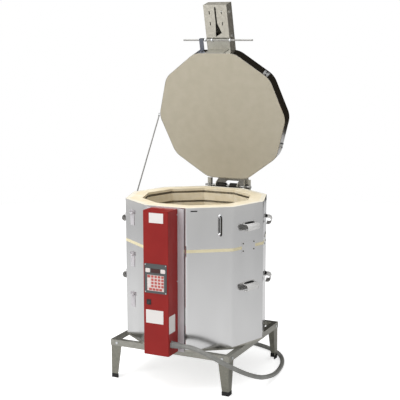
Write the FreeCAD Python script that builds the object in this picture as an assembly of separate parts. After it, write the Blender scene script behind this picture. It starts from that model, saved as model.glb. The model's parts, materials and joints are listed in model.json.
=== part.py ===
import FreeCAD, Part
import math
import os

# A ten-sided top-loading ceramic kiln on an angle-iron stand. Sizes are in millimetres.
# The kiln's own axis is at X = 0, Y = 0 while it is drawn, with the front facet towards -Y.
# At the end everything is moved along Y, so that the origin is under the middle of the whole object.

# Fits
RUNNING = 0.1
LOOSE = 0.3
GAP = 0.5

# Walls of the chamber, seen from above
SIDES = 10
CHAMBER_APOTHEM = 297.0
BRICK = 63.5
INSULATION = 25.4
SKIN = 0.8
BEND = 22.0
LID_BEND = 40.0

# Heights
STAND_TOP = 224.0
PAN_SHEET = 1.2
PAN_LIP = 11.0
BASE_BOARD = 16.0
FLOOR_SLAB = 76.2
RING = 229.0
GASKET = 6.0
SEAM_REVEAL = 3.5
LID_SLAB = 76.0

# Grooves and heating elements
GROOVES = 4
GROOVE_PITCH = 57.0
GROOVE_FROM_TOP = 20.0
GROOVE_MOUTH = 12.0
GROOVE_BACK = 18.0
GROOVE_DEPTH = 18.0
ELEMENT = 10.0
BUSHING_RADIUS = 6.0
BUSHING_SIDES = 8
BUSHING_SPREAD = 40.0
BUSHING_TAIL = 12.0
WINDOW = 30.0
SHEATH_RADIUS = 4.0
SHEATH_IN_CHAMBER = 25.0
SENSOR_HEAD = 24.0

# Stand
STAND_HALF = 364.0
RAIL_DEPTH = 35.0
RAIL_WIDTH = 30.0
RAIL_SHEET = 2.5
LEG_SHEET = 3.0
LEG_TOP_WIDTH = 68.0
LEG_FOOT_WIDTH = 40.0
CAP_WALL = 1.0
CAP_HEIGHT = 24.0
CAP_FLOOR = 3.0
STAND_BOLT_ACROSS = 13.0
STAND_BOLT_HEAD = 5.0
STAND_BOLT_INSET = 40.0

# Control box
STANDOFF = 5.0
STANDOFF_ACROSS = 12.0
PLATE_SHEET = 1.2
PLATE_HALF = 111.0
PLATE_FLANGE = 11.0
CASE_HALF = 74.0
CASE_DEPTH = 109.1
CASE_BELOW_STAND = 2.0
CASE_BELOW_RIM = 5.4
CASE_SHEET = 1.2
CASE_BEND = 3.0
BEZEL_HALF = 66.0
BEZEL_LOW = 563.0
BEZEL_HIGH = 722.0
BEZEL_THICK = 3.0
BEZEL_LAP = 6.0
DISPLAY_HALF = 27.0
DISPLAY_LOW = 674.0
DISPLAY_HIGH = 697.0
KEYPAD_HALF = 50.0
KEYPAD_LOW = 576.0
KEYPAD_HIGH = 662.0
KEY_ROWS = 5
KEY_COLUMNS = 5
KEY_RISE = 0.6
KEY_SHARE = 0.35
ROCKER_X = -42.0
ROCKER_Z = 512.5
ROCKER_FRAME_WIDTH = 26.0
ROCKER_FRAME_HEIGHT = 29.0
ROCKER_FRAME_THICK = 2.5
ROCKER_BODY_DEPTH = 18.0
ROCKER_FRAME_LAP = 2.0
ROCKER_WELL = 7.5
ROCKER_HALF_HEIGHT = 10.0
ROCKER_HALF_WIDTH = 7.7
ROCKER_END = 5.7
ROCKER_VALLEY = 3.7
ROCKER_BACK = 2.5
ROCKER_BACK_HALF = 8.0
ROCKER_TILT = 10.0
ROCKER_PIVOT = 1.5
ROCKER_PIN = 1.5
ROCKER_PIN_END = 1.0
BOARD_BACK = 18.0
BOARD_SHEET = 1.6
BOARD_POST = 5.0
CHIP_DEPTH = 12.4
CAPACITOR_DEPTH = 18.4
GLAND_Y = -468.0
GLAND_Z = 282.0
GLAND_NECK = 14.0
GLAND_INSIDE = 8.0
GLAND_NUT = 6.0
GLAND_COLLAR = 9.0
GLAND_LENGTH = 18.0
GLAND_SIDES = 12

# Bare label plates: (across), (up from the cover's top or bottom); the side one (back from the front), (up)
LABEL_THICK = 0.5
UPPER_LABEL = (-38.0, 46.0), (-64.0, -11.0)
LOWER_LABEL = (-60.0, 44.0), (175.0, 248.0)
SIDE_LABEL = (7.0, 77.0), (123.0, 218.0)

# Parts on the plate inside the cover
RELAYS = 3
RELAY_PITCH = 46.0
RELAY_FIRST = 65.0
RELAY_BODY = (25.0, 30.0, 16.0)
BLADE = (3.0, 8.0, 1.0)
BLADE_PLACES = (-18.0, -6.0, 6.0, 18.0)
TRANSFORMER_ABOVE = 74.0
CORE = (26.0, 34.0, 22.0)
COIL = (17.0, 44.0, 14.0)
CORE_FOOT = (36.0, 2.0, 12.0)
TERMINALS_ABOVE = 26.0
TERMINALS = (36.0, 16.0, 12.0)
TERMINAL_RIB = (1.5, 24.0, 12.0)
TERMINAL_RIB_PLACES = (-34.5, -11.5, 11.5, 34.5)
SCREW_ACROSS = 7.0
SCREW_HEAD = 2.5

# Pieces on the facets
HANDLE_LEFT = -61.0
HANDLE_RIGHT = 69.0
HANDLE_ROLL = 19.5
HANDLE_CURL = 210.0
HANDLE_CURL_STEPS = 10
HANDLE_SHEET = 1.5
HANDLE_FLANGE = 11.0
HANDLE_HIGH = 887.0
HANDLE_LOW = 555.0
MOUNT_THICK = 6.0
MOUNT_HALF = 60.0
SEAM_PLATE_HALF = 55.0
SEAM_PLATE_RISE = 30.0
SEAM_PLATE_SHEET = 1.2
SEAM_SCREW_X = 44.0
SEAM_SCREW_Z = 20.5
STRAP_INNER = 113.0
STRAP_OUTER = 123.0
LAP_LEFT = -118.0
LAP_RIGHT = 83.0
LAP_LOW = 795.0
LAP_HIGH = 997.0
LAP_SHEET = 0.8
GRAB_X = 55.0
GRAB_LOW = 857.0
GRAB_HIGH = 967.0
GRAB_REACH = 34.0
GRAB_WIDTH = 12.0
GRAB_THICK = 5.0
GRAB_BEND = 10.0
BADGE_LEFT = -105.0
BADGE_RIGHT = -69.0
BADGE_LOW = 990.0

# Sight holes and their flaps
SIGHT_X = -33.0
SIGHT_RADIUS = 10.0
FLAP_HALF = 22.0
FLAP_DROP = 66.0
FLAP_SHEET = 2.0
FLAP_PIN_ABOVE = 45.0
FLAP_PIN_RADIUS = 2.5
FLAP_PIN_OUT = 7.0
FLAP_BARREL_RADIUS = 5.5
FLAP_BARREL_HALF = 12.0
FLAP_BARREL_SIDES = 12
EAR_RADIUS = 4.2
EAR_SHEET = 3.0
EAR_RISE = 18.0
EAR_FOOT = 1.5

# Hinge at the back
HINGE_BACK = 49.5
HINGE_RISE = 1.3
LID_GAP = 0.5
LID_OPEN = 75.0
HINGE_ROD_RADIUS = 7.0
HINGE_ROD_HALF = 150.0
HINGE_NUT_ACROSS = 24.0
HINGE_NUT = 8.0
BASE_SHEET = 2.5
BASE_HALF = 110.0
BASE_LOW = 560.0
CHEEK_LOW = 760.0
BASE_BELOW_RIM = 10.0
CHEEK_REACH = 40.0
POST_WIDTH = 32.0
POST_SHEET = 3.0
POST_DEPTH = 30.0
POST_ABOVE = 44.0
SPRING_RADIUS = 19.0
SPRING_WIRE = 8.0
SPRING_TURNS = 7
SPRING_SIDES = 12
SPRING_INNER_END = 6.0
SPRING_OUTER_END = 68.0
SPRING_LEG = 60.0

# Lid hardware, drawn with the lid closed
ARM_HALF = 72.5
ARM_SHEET = 2.5
ARM_HEIGHT = 74.0
ARM_REACH = 260.0
ARM_REAR = 30.0
ARM_CHEEK_FRONT = 5.0
ARM_EYE = 30.0
LIP_LENGTH = 190.0
SLIT_WIDTH = 10.0
SLIT_START = 13.0
SLIT_END = 105.0
CUT_LEFT = 185.0
CUT_RIGHT = 162.0
CUT_LEFT_X = -12.0
CUT_RIGHT_X = 28.0
SLOT_X = 38.0
SLOT_NEAR = 44.0
SLOT_FAR = 108.0
SLOT_LENGTH = 20.0
SLOT_WIDTH = 6.0
MOUNT_SHEET = 2.5
REAR_MOUNT_HALF = 66.0
SADDLE_HALF = 60.0
SADDLE_REACH = 66.0
BAR_RADIUS = 4.75
BAR_HALF = 218.0
BAR_OUT = 58.3
HOOK_X = -101.0
HOOK_WIDTH = 26.0
HOOK_THICK = 4.0
HOOK_DROP = 45.0
HOOK_TIP = 14.0
ARM_BOLT_RADIUS = 4.0
ARM_BOLT_SIDES = 8
ARM_BOLT_ACROSS = 13.0
ARM_BOLT_HEAD = 6.0
ARM_BOLT_FIRST = 48.0
ARM_BOLT_SECOND = 188.0
CLAMP_LENGTH = 34.0
CLAMP_HEIGHT = 22.0
CLAMP_THICK = 9.0
CLAMP_FIRST_X = 88.0
CLAMP_SECOND_X = 60.0

# Prop rod
PROP_RADIUS = 3.75
PROP_LENGTH = 640.0
PROP_OUT = 7.4
PROP_ABOVE = 12.0
PROP_EYE = 9.0
PROP_FLAT = 13.0
PROP_EYE_THICK = 5.0
STUD_RADIUS = 3.0
STUD_HEAD = 4.0
GUIDE_Y = 4.0
GUIDE_BELOW_RIM = 75.4
GUIDE_SHEET = 3.0
GUIDE_SLOT = 21.0
GUIDE_OUT = 10.0
GUIDE_HALF = 18.0
GUIDE_FLANGE = 30.0
GUIDE_EDGE = 8.0

# Supply cord: its route from the gland to the plug, by hand
CORD_RADIUS = 12.5
CORD_SIDES = 8
CORD_BEND_SHARE = 0.45
PLUG_LENGTH = 62.0
PLUG_WIDTH = 54.0
PLUG_HEIGHT = 38.0
BLADE_LENGTH = 20.0

# Worked out from the sizes above
FACET_TURN = 360.0 / SIDES
SLAB_APOTHEM = CHAMBER_APOTHEM + BRICK
LINER_APOTHEM = SLAB_APOTHEM + INSULATION
SHELL_APOTHEM = LINER_APOTHEM + SKIN
SHELL_CORNER = SHELL_APOTHEM / math.cos(math.pi / SIDES)
PAN_TOP = STAND_TOP + PAN_LIP
BOARD_LOW = STAND_TOP + PAN_SHEET
SLAB_LOW = BOARD_LOW + BASE_BOARD
FLOOR = SLAB_LOW + FLOOR_SLAB
SEAM_LOW = FLOOR + 2 * RING
SEAM_HIGH = SEAM_LOW + GASKET
SEAM_MIDDLE = (SEAM_LOW + SEAM_HIGH) / 2
RIM = SEAM_HIGH + RING
RING_LOWS = (FLOOR, FLOOR + RING, SEAM_HIGH)
PLATE_FRONT = -(SHELL_APOTHEM + STANDOFF + PLATE_SHEET)
CASE_FRONT = PLATE_FRONT - CASE_DEPTH
CASE_LOW = STAND_TOP - CASE_BELOW_STAND
CASE_HIGH = RIM - CASE_BELOW_RIM
HINGE_Y = SHELL_APOTHEM + HINGE_BACK
HINGE_Z = RIM + HINGE_RISE
LID_LOW = RIM + LID_GAP
LID_HIGH = LID_LOW + LID_SLAB
ARM_TOP = LID_HIGH + ARM_HEIGHT
ARM_TIP = -(SHELL_APOTHEM + ARM_REACH)
BAR_Y = -(SHELL_APOTHEM + BAR_OUT)
BAR_Z = LID_HIGH - MOUNT_SHEET - BAR_RADIUS
PROP_X = -(SHELL_CORNER + PROP_OUT)
PROP_Z = LID_LOW + PROP_ABOVE
GUIDE_Z = RIM - GUIDE_BELOW_RIM

# Facets are counted round from the front one, turning towards +X
FRONT_FACET = 0
LAP_FACET = 1
HANDLE_FACETS = (2, 3, SIDES - 3, SIDES - 2)
SIGHT_FACET = SIDES - 1
PROP_FACET = SIDES - 3
CLAMPS = ((1, CLAMP_FIRST_X), (3, CLAMP_SECOND_X))


def at(x, y, z):
    return FreeCAD.Vector(x, y, z)


def block(x, y, z):
    """A box from its (low, high) pair along each axis."""
    return Part.makeBox(x[1] - x[0], y[1] - y[0], z[1] - z[0], at(x[0], y[0], z[0]))


def bar(radius, start, end):
    """A round bar between two points."""
    along = end - start
    return Part.makeCylinder(radius, along.Length, start, along)


def flat(outline):
    return Part.Face(Part.makePolygon(outline + outline[:1]))


def prism(outline, along):
    """A closed flat outline pushed along a vector."""
    return flat(outline).extrude(along)


def corners_round(sides, radius, centre, along):
    """Evenly spread points round a centre, square to a direction."""
    across = along.cross(at(0, 0, 1) if abs(along.z) < along.Length / 2 else at(1, 0, 0))
    across.normalize()
    other = across.cross(along)
    other.normalize()
    turns = [2 * math.pi * step / sides for step in range(sides)]
    return [centre + other * (radius * math.cos(t)) + across * (radius * math.sin(t)) for t in turns]


def flat_sided(sides, radius, start, along):
    """A straight bar with flat sides, its corners on the radius."""
    return prism(corners_round(sides, radius, start, along), along)


def hexagon(across, start, along):
    """A hexagonal bar, of a width across its flats, from a point along a vector."""
    return flat_sided(6, across / math.sqrt(3), start, along)


def stacked(sides, centre, rings):
    """A flat-sided form along X through rings of (distance, radius)."""
    loops = [corners_round(sides, radius, centre + at(distance, 0, 0), at(1, 0, 0))
             for distance, radius in rings]
    faces = [flat(loops[0]), flat(loops[-1])]
    for near, far in zip(loops, loops[1:]):
        for here, there in zip(range(-1, sides - 1), range(sides)):
            faces.append(flat([near[here], near[there], far[there], far[here]]))
    shell = Part.makeShell(faces)
    shell.sewShape()
    form = Part.makeSolid(shell)
    if form.Volume < 0:
        form.reverse()
    return form


def joined(shapes):
    whole = shapes[0]
    for shape in shapes[1:]:
        whole = whole.fuse(shape)
    return whole.removeSplitter()


def cut_by(shape, tools):
    for tool in tools:
        shape = shape.cut(tool)
    return shape


def upright_edges(shape):
    return [edge for edge in shape.Edges if abs(edge.tangentAt(edge.FirstParameter).z) > 0.99]


def many_sided(apothem, low, high, bend=0.0):
    """A prism with flats at the front and the back. Each bent corner has two flats along its arc."""
    centre = (apothem - bend) / math.cos(math.pi / SIDES)
    outline = []
    for step in range(SIDES):
        middle = math.radians(-90 + FACET_TURN * (step + 0.5))
        leans = (-math.pi / SIDES, 0, math.pi / SIDES) if bend > 0 else (0,)
        for lean in leans:
            x = centre * math.cos(middle) + bend * math.cos(middle + lean)
            y = centre * math.sin(middle) + bend * math.sin(middle + lean)
            outline.append(at(x, y, low))
    return prism(outline, at(0, 0, high - low))


def half_width(apothem):
    return apothem * math.tan(math.pi / SIDES)


def on_facet(shape, facet):
    """A copy of something drawn on the front facet, carried round to another one."""
    copy = shape.copy()
    copy.rotate(at(0, 0, 0), at(0, 0, 1), FACET_TURN * facet)
    return copy


def opened(shape):
    """The lid's pieces are drawn closed and leave here as they stand at rest, open."""
    copy = shape.copy()
    copy.rotate(at(0, HINGE_Y, HINGE_Z), at(1, 0, 0), -LID_OPEN)
    return copy


def opened_point(point):
    turn = FreeCAD.Rotation(at(1, 0, 0), -LID_OPEN)
    centre = at(0, HINGE_Y, HINGE_Z)
    return centre + turn.multVec(point - centre)


def both_sides(shape):
    return [shape, shape.mirror(at(0, 0, 0), at(1, 0, 0))]


def groove_heights(low):
    return [low + RING - GROOVE_FROM_TOP - GROOVE_PITCH * step for step in range(GROOVES)]


def ring_middle(low):
    return low + RING / 2


def bushing_places():
    """Each ring's element starts in its top groove and ends in its lowest one."""
    places = []
    for low in RING_LOWS:
        heights = groove_heights(low)
        places.append((-BUSHING_SPREAD, heights[0]))
        places.append((BUSHING_SPREAD, heights[-1]))
    return places


# Stand
def stand_rails():
    """Pressed angles, mitred at the corners, with the flat flange on top."""
    outer = STAND_HALF
    inner = STAND_HALF - RAIL_WIDTH
    top = block((-outer, outer), (-outer, -inner), (STAND_TOP - RAIL_SHEET, STAND_TOP))
    face = block((-outer, outer), (-outer, -outer + RAIL_SHEET), (STAND_TOP - RAIL_DEPTH, STAND_TOP))
    low = STAND_TOP - RAIL_DEPTH
    corners = [(-outer, -outer), (outer, -outer), (inner, -inner), (-inner, -inner)]
    mitre = prism([at(x, y, low) for x, y in corners], at(0, 0, RAIL_DEPTH))
    rail = top.fuse(face).common(mitre).removeSplitter()
    rails = []
    for step in range(4):
        copy = rail.copy()
        copy.rotate(at(0, 0, 0), at(0, 0, 1), 90 * step)
        rails.append(copy)
    return rails


def leg():
    """The front left leg: two faces meeting at the stand's corner, tapering to the foot."""
    corner = -STAND_HALF + RAIL_SHEET
    top = STAND_TOP - RAIL_SHEET
    outline = [(0, CAP_FLOOR), (LEG_FOOT_WIDTH, CAP_FLOOR), (LEG_FOOT_WIDTH, CAP_HEIGHT),
               (LEG_TOP_WIDTH, top), (0, top)]
    front = prism([at(corner + x, corner, z) for x, z in outline], at(0, LEG_SHEET, 0))
    side = prism([at(corner, corner + y, z) for y, z in outline], at(LEG_SHEET, 0, 0))
    return front.fuse(side).removeSplitter()


def foot_cap():
    corner = -STAND_HALF + RAIL_SHEET
    span = (corner - CAP_WALL, corner + LEG_FOOT_WIDTH + CAP_WALL)
    return block(span, span, (0, CAP_HEIGHT)).cut(leg())


def at_corners(shape):
    copies = []
    for step in range(4):
        copy = shape.copy()
        copy.rotate(at(0, 0, 0), at(0, 0, 1), 90 * step)
        copies.append(copy)
    return copies


def stand_legs():
    return at_corners(leg())


def foot_caps():
    return at_corners(foot_cap())


def stand_bolts():
    """One bolt head each side of every corner."""
    inset = STAND_HALF - STAND_BOLT_INSET
    middle = STAND_TOP - RAIL_DEPTH / 2
    out = at(0, -STAND_BOLT_HEAD, 0)
    heads = []
    for x in (-inset, inset):
        heads += at_corners(hexagon(STAND_BOLT_ACROSS, at(x, -STAND_HALF, middle), out))
    return heads


# Kiln body
def base_pan():
    pan = many_sided(SHELL_APOTHEM, STAND_TOP, PAN_TOP, BEND)
    return [pan.cut(many_sided(LINER_APOTHEM, BOARD_LOW, PAN_TOP + GAP, BEND - SKIN))]


def base_board():
    return [many_sided(LINER_APOTHEM, BOARD_LOW, SLAB_LOW, BEND - SKIN)]


def floor_slab():
    return [many_sided(SLAB_APOTHEM, SLAB_LOW, FLOOR)]


def wall_piece(inner, outer, low, high):
    """A mitred piece of wall on the front facet."""
    near = half_width(inner)
    far = half_width(outer)
    plan = [(-near, -inner), (-far, -outer), (far, -outer), (near, -inner)]
    return prism([at(x, y, low) for x, y in plan], at(0, 0, high - low))


def groove(height):
    """The groove is wider at its back than at its mouth, so the element can't roll out."""
    mouth = GROOVE_MOUTH / 2
    back = GROOVE_BACK / 2
    face = -CHAMBER_APOTHEM
    outline = [(face + 1, -mouth), (face, -mouth), (face - GROOVE_DEPTH, -back),
               (face - GROOVE_DEPTH, back), (face, mouth), (face + 1, mouth)]
    reach = half_width(SLAB_APOTHEM)
    return prism([at(-reach, y, height + z) for y, z in outline], at(2 * reach, 0, 0))


def rasped_hole(radius, x, inner, height):
    """A six-sided hole through the wall, as rasped by hand, with room for a tube."""
    return hexagon(2 * (radius + LOOSE), at(x, -inner, height), at(0, inner - SHELL_APOTHEM, 0))


def bushing_hole(x, height):
    return rasped_hole(BUSHING_RADIUS, x, CHAMBER_APOTHEM + GROOVE_DEPTH - 1, height)


def sheath_hole():
    return rasped_hole(SHEATH_RADIUS, 0, CHAMBER_APOTHEM - 1, ring_middle(RING_LOWS[1]))


def sight_hole(height):
    start = at(SIGHT_X, -CHAMBER_APOTHEM + 1, height)
    return bar(SIGHT_RADIUS, start, at(SIGHT_X, -SHELL_APOTHEM - 1, height))


def front_holes():
    return [bushing_hole(x, height) for x, height in bushing_places()] + [sheath_hole()]


def sight_holes():
    return [sight_hole(ring_middle(low)) for low in RING_LOWS]


def wall_ring(piece):
    """Ten copies of one piece of wall, with the front one and the sight one drilled."""
    ring = []
    for facet in range(SIDES):
        drilled = piece
        if facet == FRONT_FACET:
            drilled = cut_by(piece, front_holes())
        if facet == SIGHT_FACET:
            drilled = cut_by(piece, sight_holes())
        ring.append(on_facet(drilled, facet))
    return ring


def brick_ring(low):
    piece = wall_piece(CHAMBER_APOTHEM, SLAB_APOTHEM, low, low + RING)
    return wall_ring(cut_by(piece, [groove(height) for height in groove_heights(low)]))


def insulation(low, high):
    piece = wall_piece(SLAB_APOTHEM, LINER_APOTHEM, low, high)
    return wall_ring(piece.common(many_sided(LINER_APOTHEM, low, high, BEND - SKIN)))


def seam_gasket():
    gasket = many_sided(SHELL_APOTHEM, SEAM_LOW, SEAM_HIGH, BEND)
    return [gasket.cut(many_sided(CHAMBER_APOTHEM, SEAM_LOW - 1, SEAM_HIGH + 1))]


def jacket(low, high):
    skin = many_sided(SHELL_APOTHEM, low, high, BEND)
    skin = skin.cut(many_sided(LINER_APOTHEM, low - 1, high + 1, BEND - SKIN))
    skin = cut_by(skin, [on_facet(hole, SIGHT_FACET) for hole in sight_holes()])
    return [cut_by(skin, wire_windows())]


def wire_windows():
    """Square windows behind the control box, one round each bushing and one round the sensor."""
    places = bushing_places() + [(0, ring_middle(RING_LOWS[1]))]
    depth = (PLATE_FRONT - 1, -LINER_APOTHEM + 1)
    reach = WINDOW / 2
    return [block((x - reach, x + reach), depth, (z - reach, z + reach)) for x, z in places]


def heating_elements():
    """One loop in each groove, resting on its slanted lower side."""
    outer = CHAMBER_APOTHEM + GROOVE_DEPTH - LOOSE
    inner = outer - ELEMENT
    spread = (GROOVE_BACK - GROOVE_MOUTH) / 2
    low = -GROOVE_MOUTH / 2 - spread * (inner - CHAMBER_APOTHEM) / GROOVE_DEPTH + LOOSE
    loops = []
    for ring in RING_LOWS:
        for height in groove_heights(ring):
            loop = many_sided(outer, height + low, height + low + ELEMENT)
            loops.append(loop.cut(many_sided(inner, height + low - 1, height + low + ELEMENT + 1)))
    return loops


def element_bushings():
    start = -CHAMBER_APOTHEM - GROOVE_DEPTH
    along = at(0, PLATE_FRONT - BUSHING_TAIL - start, 0)
    return [flat_sided(BUSHING_SIDES, BUSHING_RADIUS, at(x, start, z), along) for x, z in bushing_places()]


def thermocouple():
    height = ring_middle(RING_LOWS[1])
    reach = SENSOR_HEAD / 2
    start = -CHAMBER_APOTHEM + SHEATH_IN_CHAMBER
    along = at(0, PLATE_FRONT - 1 - start, 0)
    sheath = flat_sided(BUSHING_SIDES, SHEATH_RADIUS, at(0, start, height), along)
    head = block((-reach, reach), (PLATE_FRONT - reach, PLATE_FRONT), (height - reach, height + reach))
    return [sheath.fuse(head)]


# Pieces on the facets
def lap_panel():
    face = -SHELL_APOTHEM
    panel = block((LAP_LEFT, LAP_RIGHT), (face - LAP_SHEET, face), (LAP_LOW, LAP_HIGH))
    return [on_facet(panel, LAP_FACET)]


def grab_handle():
    """A bent flat bar with two feet on the panel."""
    face = -SHELL_APOTHEM - LAP_SHEET
    wide = (GRAB_X - GRAB_WIDTH / 2, GRAB_X + GRAB_WIDTH / 2)
    shapes = []
    for inset, bend in ((0, GRAB_BEND), (GRAB_THICK, GRAB_BEND - GRAB_THICK)):
        form = block(wide, (face - GRAB_REACH + inset, face), (GRAB_LOW + inset, GRAB_HIGH - inset))
        shapes.append(form.makeFillet(bend, [edge for edge in form.Edges if is_outer_bend(edge, face)]))
    return [on_facet(shapes[0].cut(shapes[1]), LAP_FACET)]


def is_outer_bend(edge, face):
    """True for the edges across the handle that lie off the panel."""
    return edge.BoundBox.XLength > GRAB_WIDTH / 2 and edge.BoundBox.YMax < face - 1


def seam_plates():
    """A plate over the seam on each handle facet, and a strap each side of the control box."""
    face = -SHELL_APOTHEM
    deep = (face - SEAM_PLATE_SHEET, face)
    high = (SEAM_MIDDLE - SEAM_PLATE_RISE, SEAM_MIDDLE + SEAM_PLATE_RISE)
    plate = block((-SEAM_PLATE_HALF, SEAM_PLATE_HALF), deep, high)
    strap = block((STRAP_INNER, STRAP_OUTER), deep, high)
    return [on_facet(plate, facet) for facet in HANDLE_FACETS] + both_sides(strap)


def seam_screws():
    face = -SHELL_APOTHEM - SEAM_PLATE_SHEET
    out = at(0, -SCREW_HEAD, 0)
    heights = (SEAM_MIDDLE - SEAM_SCREW_Z, SEAM_MIDDLE + SEAM_SCREW_Z)
    heads = []
    for z in heights:
        for x in (-SEAM_SCREW_X, SEAM_SCREW_X):
            head = hexagon(SCREW_ACROSS, at(x, face, z), out)
            heads += [on_facet(head, facet) for facet in HANDLE_FACETS]
        heads += both_sides(hexagon(SCREW_ACROSS, at((STRAP_INNER + STRAP_OUTER) / 2, face, z), out))
    return heads


def handle_strip(height):
    """A strip held flat on the wall, run out over the top and curled under, as one outline."""
    wall = -SHELL_APOTHEM
    centre = wall - HANDLE_ROLL
    top = height + HANDLE_ROLL
    inner = HANDLE_ROLL - HANDLE_SHEET
    one = HANDLE_CURL / HANDLE_CURL_STEPS
    turns = [math.radians(90 + one * step) for step in range(HANDLE_CURL_STEPS + 1)]
    outline = [(wall, top - HANDLE_SHEET), (wall, top + HANDLE_FLANGE),
               (wall - HANDLE_SHEET, top + HANDLE_FLANGE), (wall - HANDLE_SHEET, top)]
    outline += [(centre + HANDLE_ROLL * math.cos(t), height + HANDLE_ROLL * math.sin(t)) for t in turns]
    outline += [(centre + inner * math.cos(t), height + inner * math.sin(t)) for t in reversed(turns)]
    return prism([at(HANDLE_LEFT, y, z) for y, z in outline], at(HANDLE_RIGHT - HANDLE_LEFT, 0, 0))


def side_handles():
    strips = [handle_strip(height) for height in (HANDLE_LOW, HANDLE_HIGH)]
    return [on_facet(strip, facet) for strip in strips for facet in HANDLE_FACETS]


def handle_mounts():
    face = -SHELL_APOTHEM - HANDLE_SHEET
    middle = (HANDLE_LEFT + HANDLE_RIGHT) / 2
    mounts = []
    for height in (HANDLE_LOW, HANDLE_HIGH):
        low = height + HANDLE_ROLL
        span = (middle - MOUNT_HALF, middle + MOUNT_HALF)
        pad = block(span, (face - MOUNT_THICK, face), (low, low + HANDLE_FLANGE))
        mounts += [on_facet(pad, facet) for facet in HANDLE_FACETS]
    return mounts


def flap_pin(low):
    return ring_middle(low) + FLAP_PIN_ABOVE


def flap_lugs():
    """Two ears with a pin between them over every sight hole."""
    wall = -SHELL_APOTHEM
    out = wall - FLAP_PIN_OUT
    near = FLAP_BARREL_HALF + LOOSE
    far = near + EAR_SHEET
    lugs = []
    for low in RING_LOWS:
        pin = flap_pin(low)
        under = pin + FLAP_BARREL_RADIUS
        foot = block((-far, far), (wall - EAR_FOOT, wall), (under, pin + EAR_RISE))
        turns = [math.radians(180 + 45 * step) for step in range(5)]
        outline = [(out + EAR_RADIUS * math.cos(t), pin + EAR_RADIUS * math.sin(t)) for t in turns]
        outline += [(out + EAR_RADIUS, under), (wall, under), (wall, pin + EAR_RISE),
                    (out - EAR_RADIUS, pin + EAR_RISE)]
        ear = prism([at(near, y, z) for y, z in outline], at(EAR_SHEET, 0, 0))
        axle = bar(FLAP_PIN_RADIUS, at(-far, out, pin), at(far, out, pin))
        lug = joined([foot, axle] + both_sides(ear))
        lug.translate(at(SIGHT_X, 0, 0))
        lugs.append(on_facet(lug, SIGHT_FACET))
    return lugs


def sight_flap(low):
    """A plate hanging from a barrel on the pin, over the hole."""
    pin = flap_pin(low)
    back = -SHELL_APOTHEM - GAP
    out = -SHELL_APOTHEM - FLAP_PIN_OUT
    left = at(-FLAP_BARREL_HALF, out, pin)
    right = at(FLAP_BARREL_HALF, out, pin)
    plate = block((-FLAP_HALF, FLAP_HALF), (back - FLAP_SHEET, back), (pin - FLAP_DROP, pin))
    barrel = flat_sided(FLAP_BARREL_SIDES, FLAP_BARREL_RADIUS, left, right - left)
    flap = joined([plate, barrel]).cut(bar(FLAP_PIN_RADIUS + RUNNING, left, right))
    flap.translate(at(SIGHT_X, 0, 0))
    return [on_facet(flap, SIGHT_FACET)]


# Control box
def box_back_plate():
    """The plate stands off the jacket and has a flange inside each side of the cover."""
    back = PLATE_FRONT + PLATE_SHEET
    high = CASE_HIGH + CASE_SHEET
    plate = block((-PLATE_HALF, PLATE_HALF), (PLATE_FRONT, back), (CASE_LOW, high))
    plate = cut_by(plate, wire_windows())
    inner = CASE_HALF - CASE_SHEET
    flange = block((inner - PLATE_SHEET, inner), (PLATE_FRONT - PLATE_FLANGE, PLATE_FRONT),
                   (CASE_LOW + CASE_SHEET, CASE_HIGH - CASE_SHEET))
    pads = []
    for z in standoff_heights():
        place = at((CASE_HALF + PLATE_HALF) / 2, back, z)
        pads += both_sides(hexagon(STANDOFF_ACROSS, place, at(0, STANDOFF, 0)))
    return [joined([plate] + both_sides(flange) + pads)]


def standoff_heights():
    return (RING_LOWS[0], ring_middle(RING_LOWS[1]), RING_LOWS[2] + RING - WINDOW)


def control_box_cover():
    """A deep folded cover, open at the back, with openings for the controller, rocker and cord."""
    outer = block((-CASE_HALF, CASE_HALF), (CASE_FRONT, PLATE_FRONT), (CASE_LOW, CASE_HIGH))
    front = [edge for edge in upright_edges(outer) if edge.BoundBox.YMax < PLATE_FRONT - 1]
    outer = outer.makeFillet(CASE_BEND, front)
    inside = CASE_HALF - CASE_SHEET
    inner = block((-inside, inside), (CASE_FRONT + CASE_SHEET, PLATE_FRONT),
                  (CASE_LOW + CASE_SHEET, CASE_HIGH - CASE_SHEET))
    front = [edge for edge in upright_edges(inner) if edge.BoundBox.YMax < PLATE_FRONT - 1]
    inner = inner.makeFillet(CASE_BEND - CASE_SHEET, front)
    through = (CASE_FRONT - 1, CASE_FRONT + CASE_SHEET + 1)
    edge = BEZEL_HALF - BEZEL_LAP
    controller = block((-edge, edge), through, (BEZEL_LOW + BEZEL_LAP, BEZEL_HIGH - BEZEL_LAP))
    body_x, body_z = rocker_body()
    switch = block(body_x, through, body_z)
    cord = bar(GLAND_NECK + RUNNING, at(0, GLAND_Y, GLAND_Z), at(CASE_HALF + 1, GLAND_Y, GLAND_Z))
    return [cut_by(outer, [inner, controller, switch, cord])]


def box_screws():
    low = CASE_LOW + WINDOW
    high = CASE_HIGH - WINDOW
    middle = PLATE_FRONT - PLATE_FLANGE / 2
    heads = []
    for z in (low, (low + high) / 2, high):
        heads += both_sides(hexagon(SCREW_ACROSS, at(CASE_HALF, middle, z), at(SCREW_HEAD, 0, 0)))
    return heads


def controller_bezel():
    bezel = block((-BEZEL_HALF, BEZEL_HALF), (CASE_FRONT - BEZEL_THICK, CASE_FRONT), (BEZEL_LOW, BEZEL_HIGH))
    corners = [edge for edge in bezel.Edges if edge.BoundBox.YLength > BEZEL_THICK / 2]
    through = (CASE_FRONT - BEZEL_THICK - 1, CASE_FRONT + 1)
    display = block((-DISPLAY_HALF, DISPLAY_HALF), through, (DISPLAY_LOW, DISPLAY_HIGH))
    keys = block((-KEYPAD_HALF, KEYPAD_HALF), through, (KEYPAD_LOW, KEYPAD_HIGH))
    return [cut_by(bezel.makeFillet(BEZEL_THICK, corners), [display, keys])]


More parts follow.
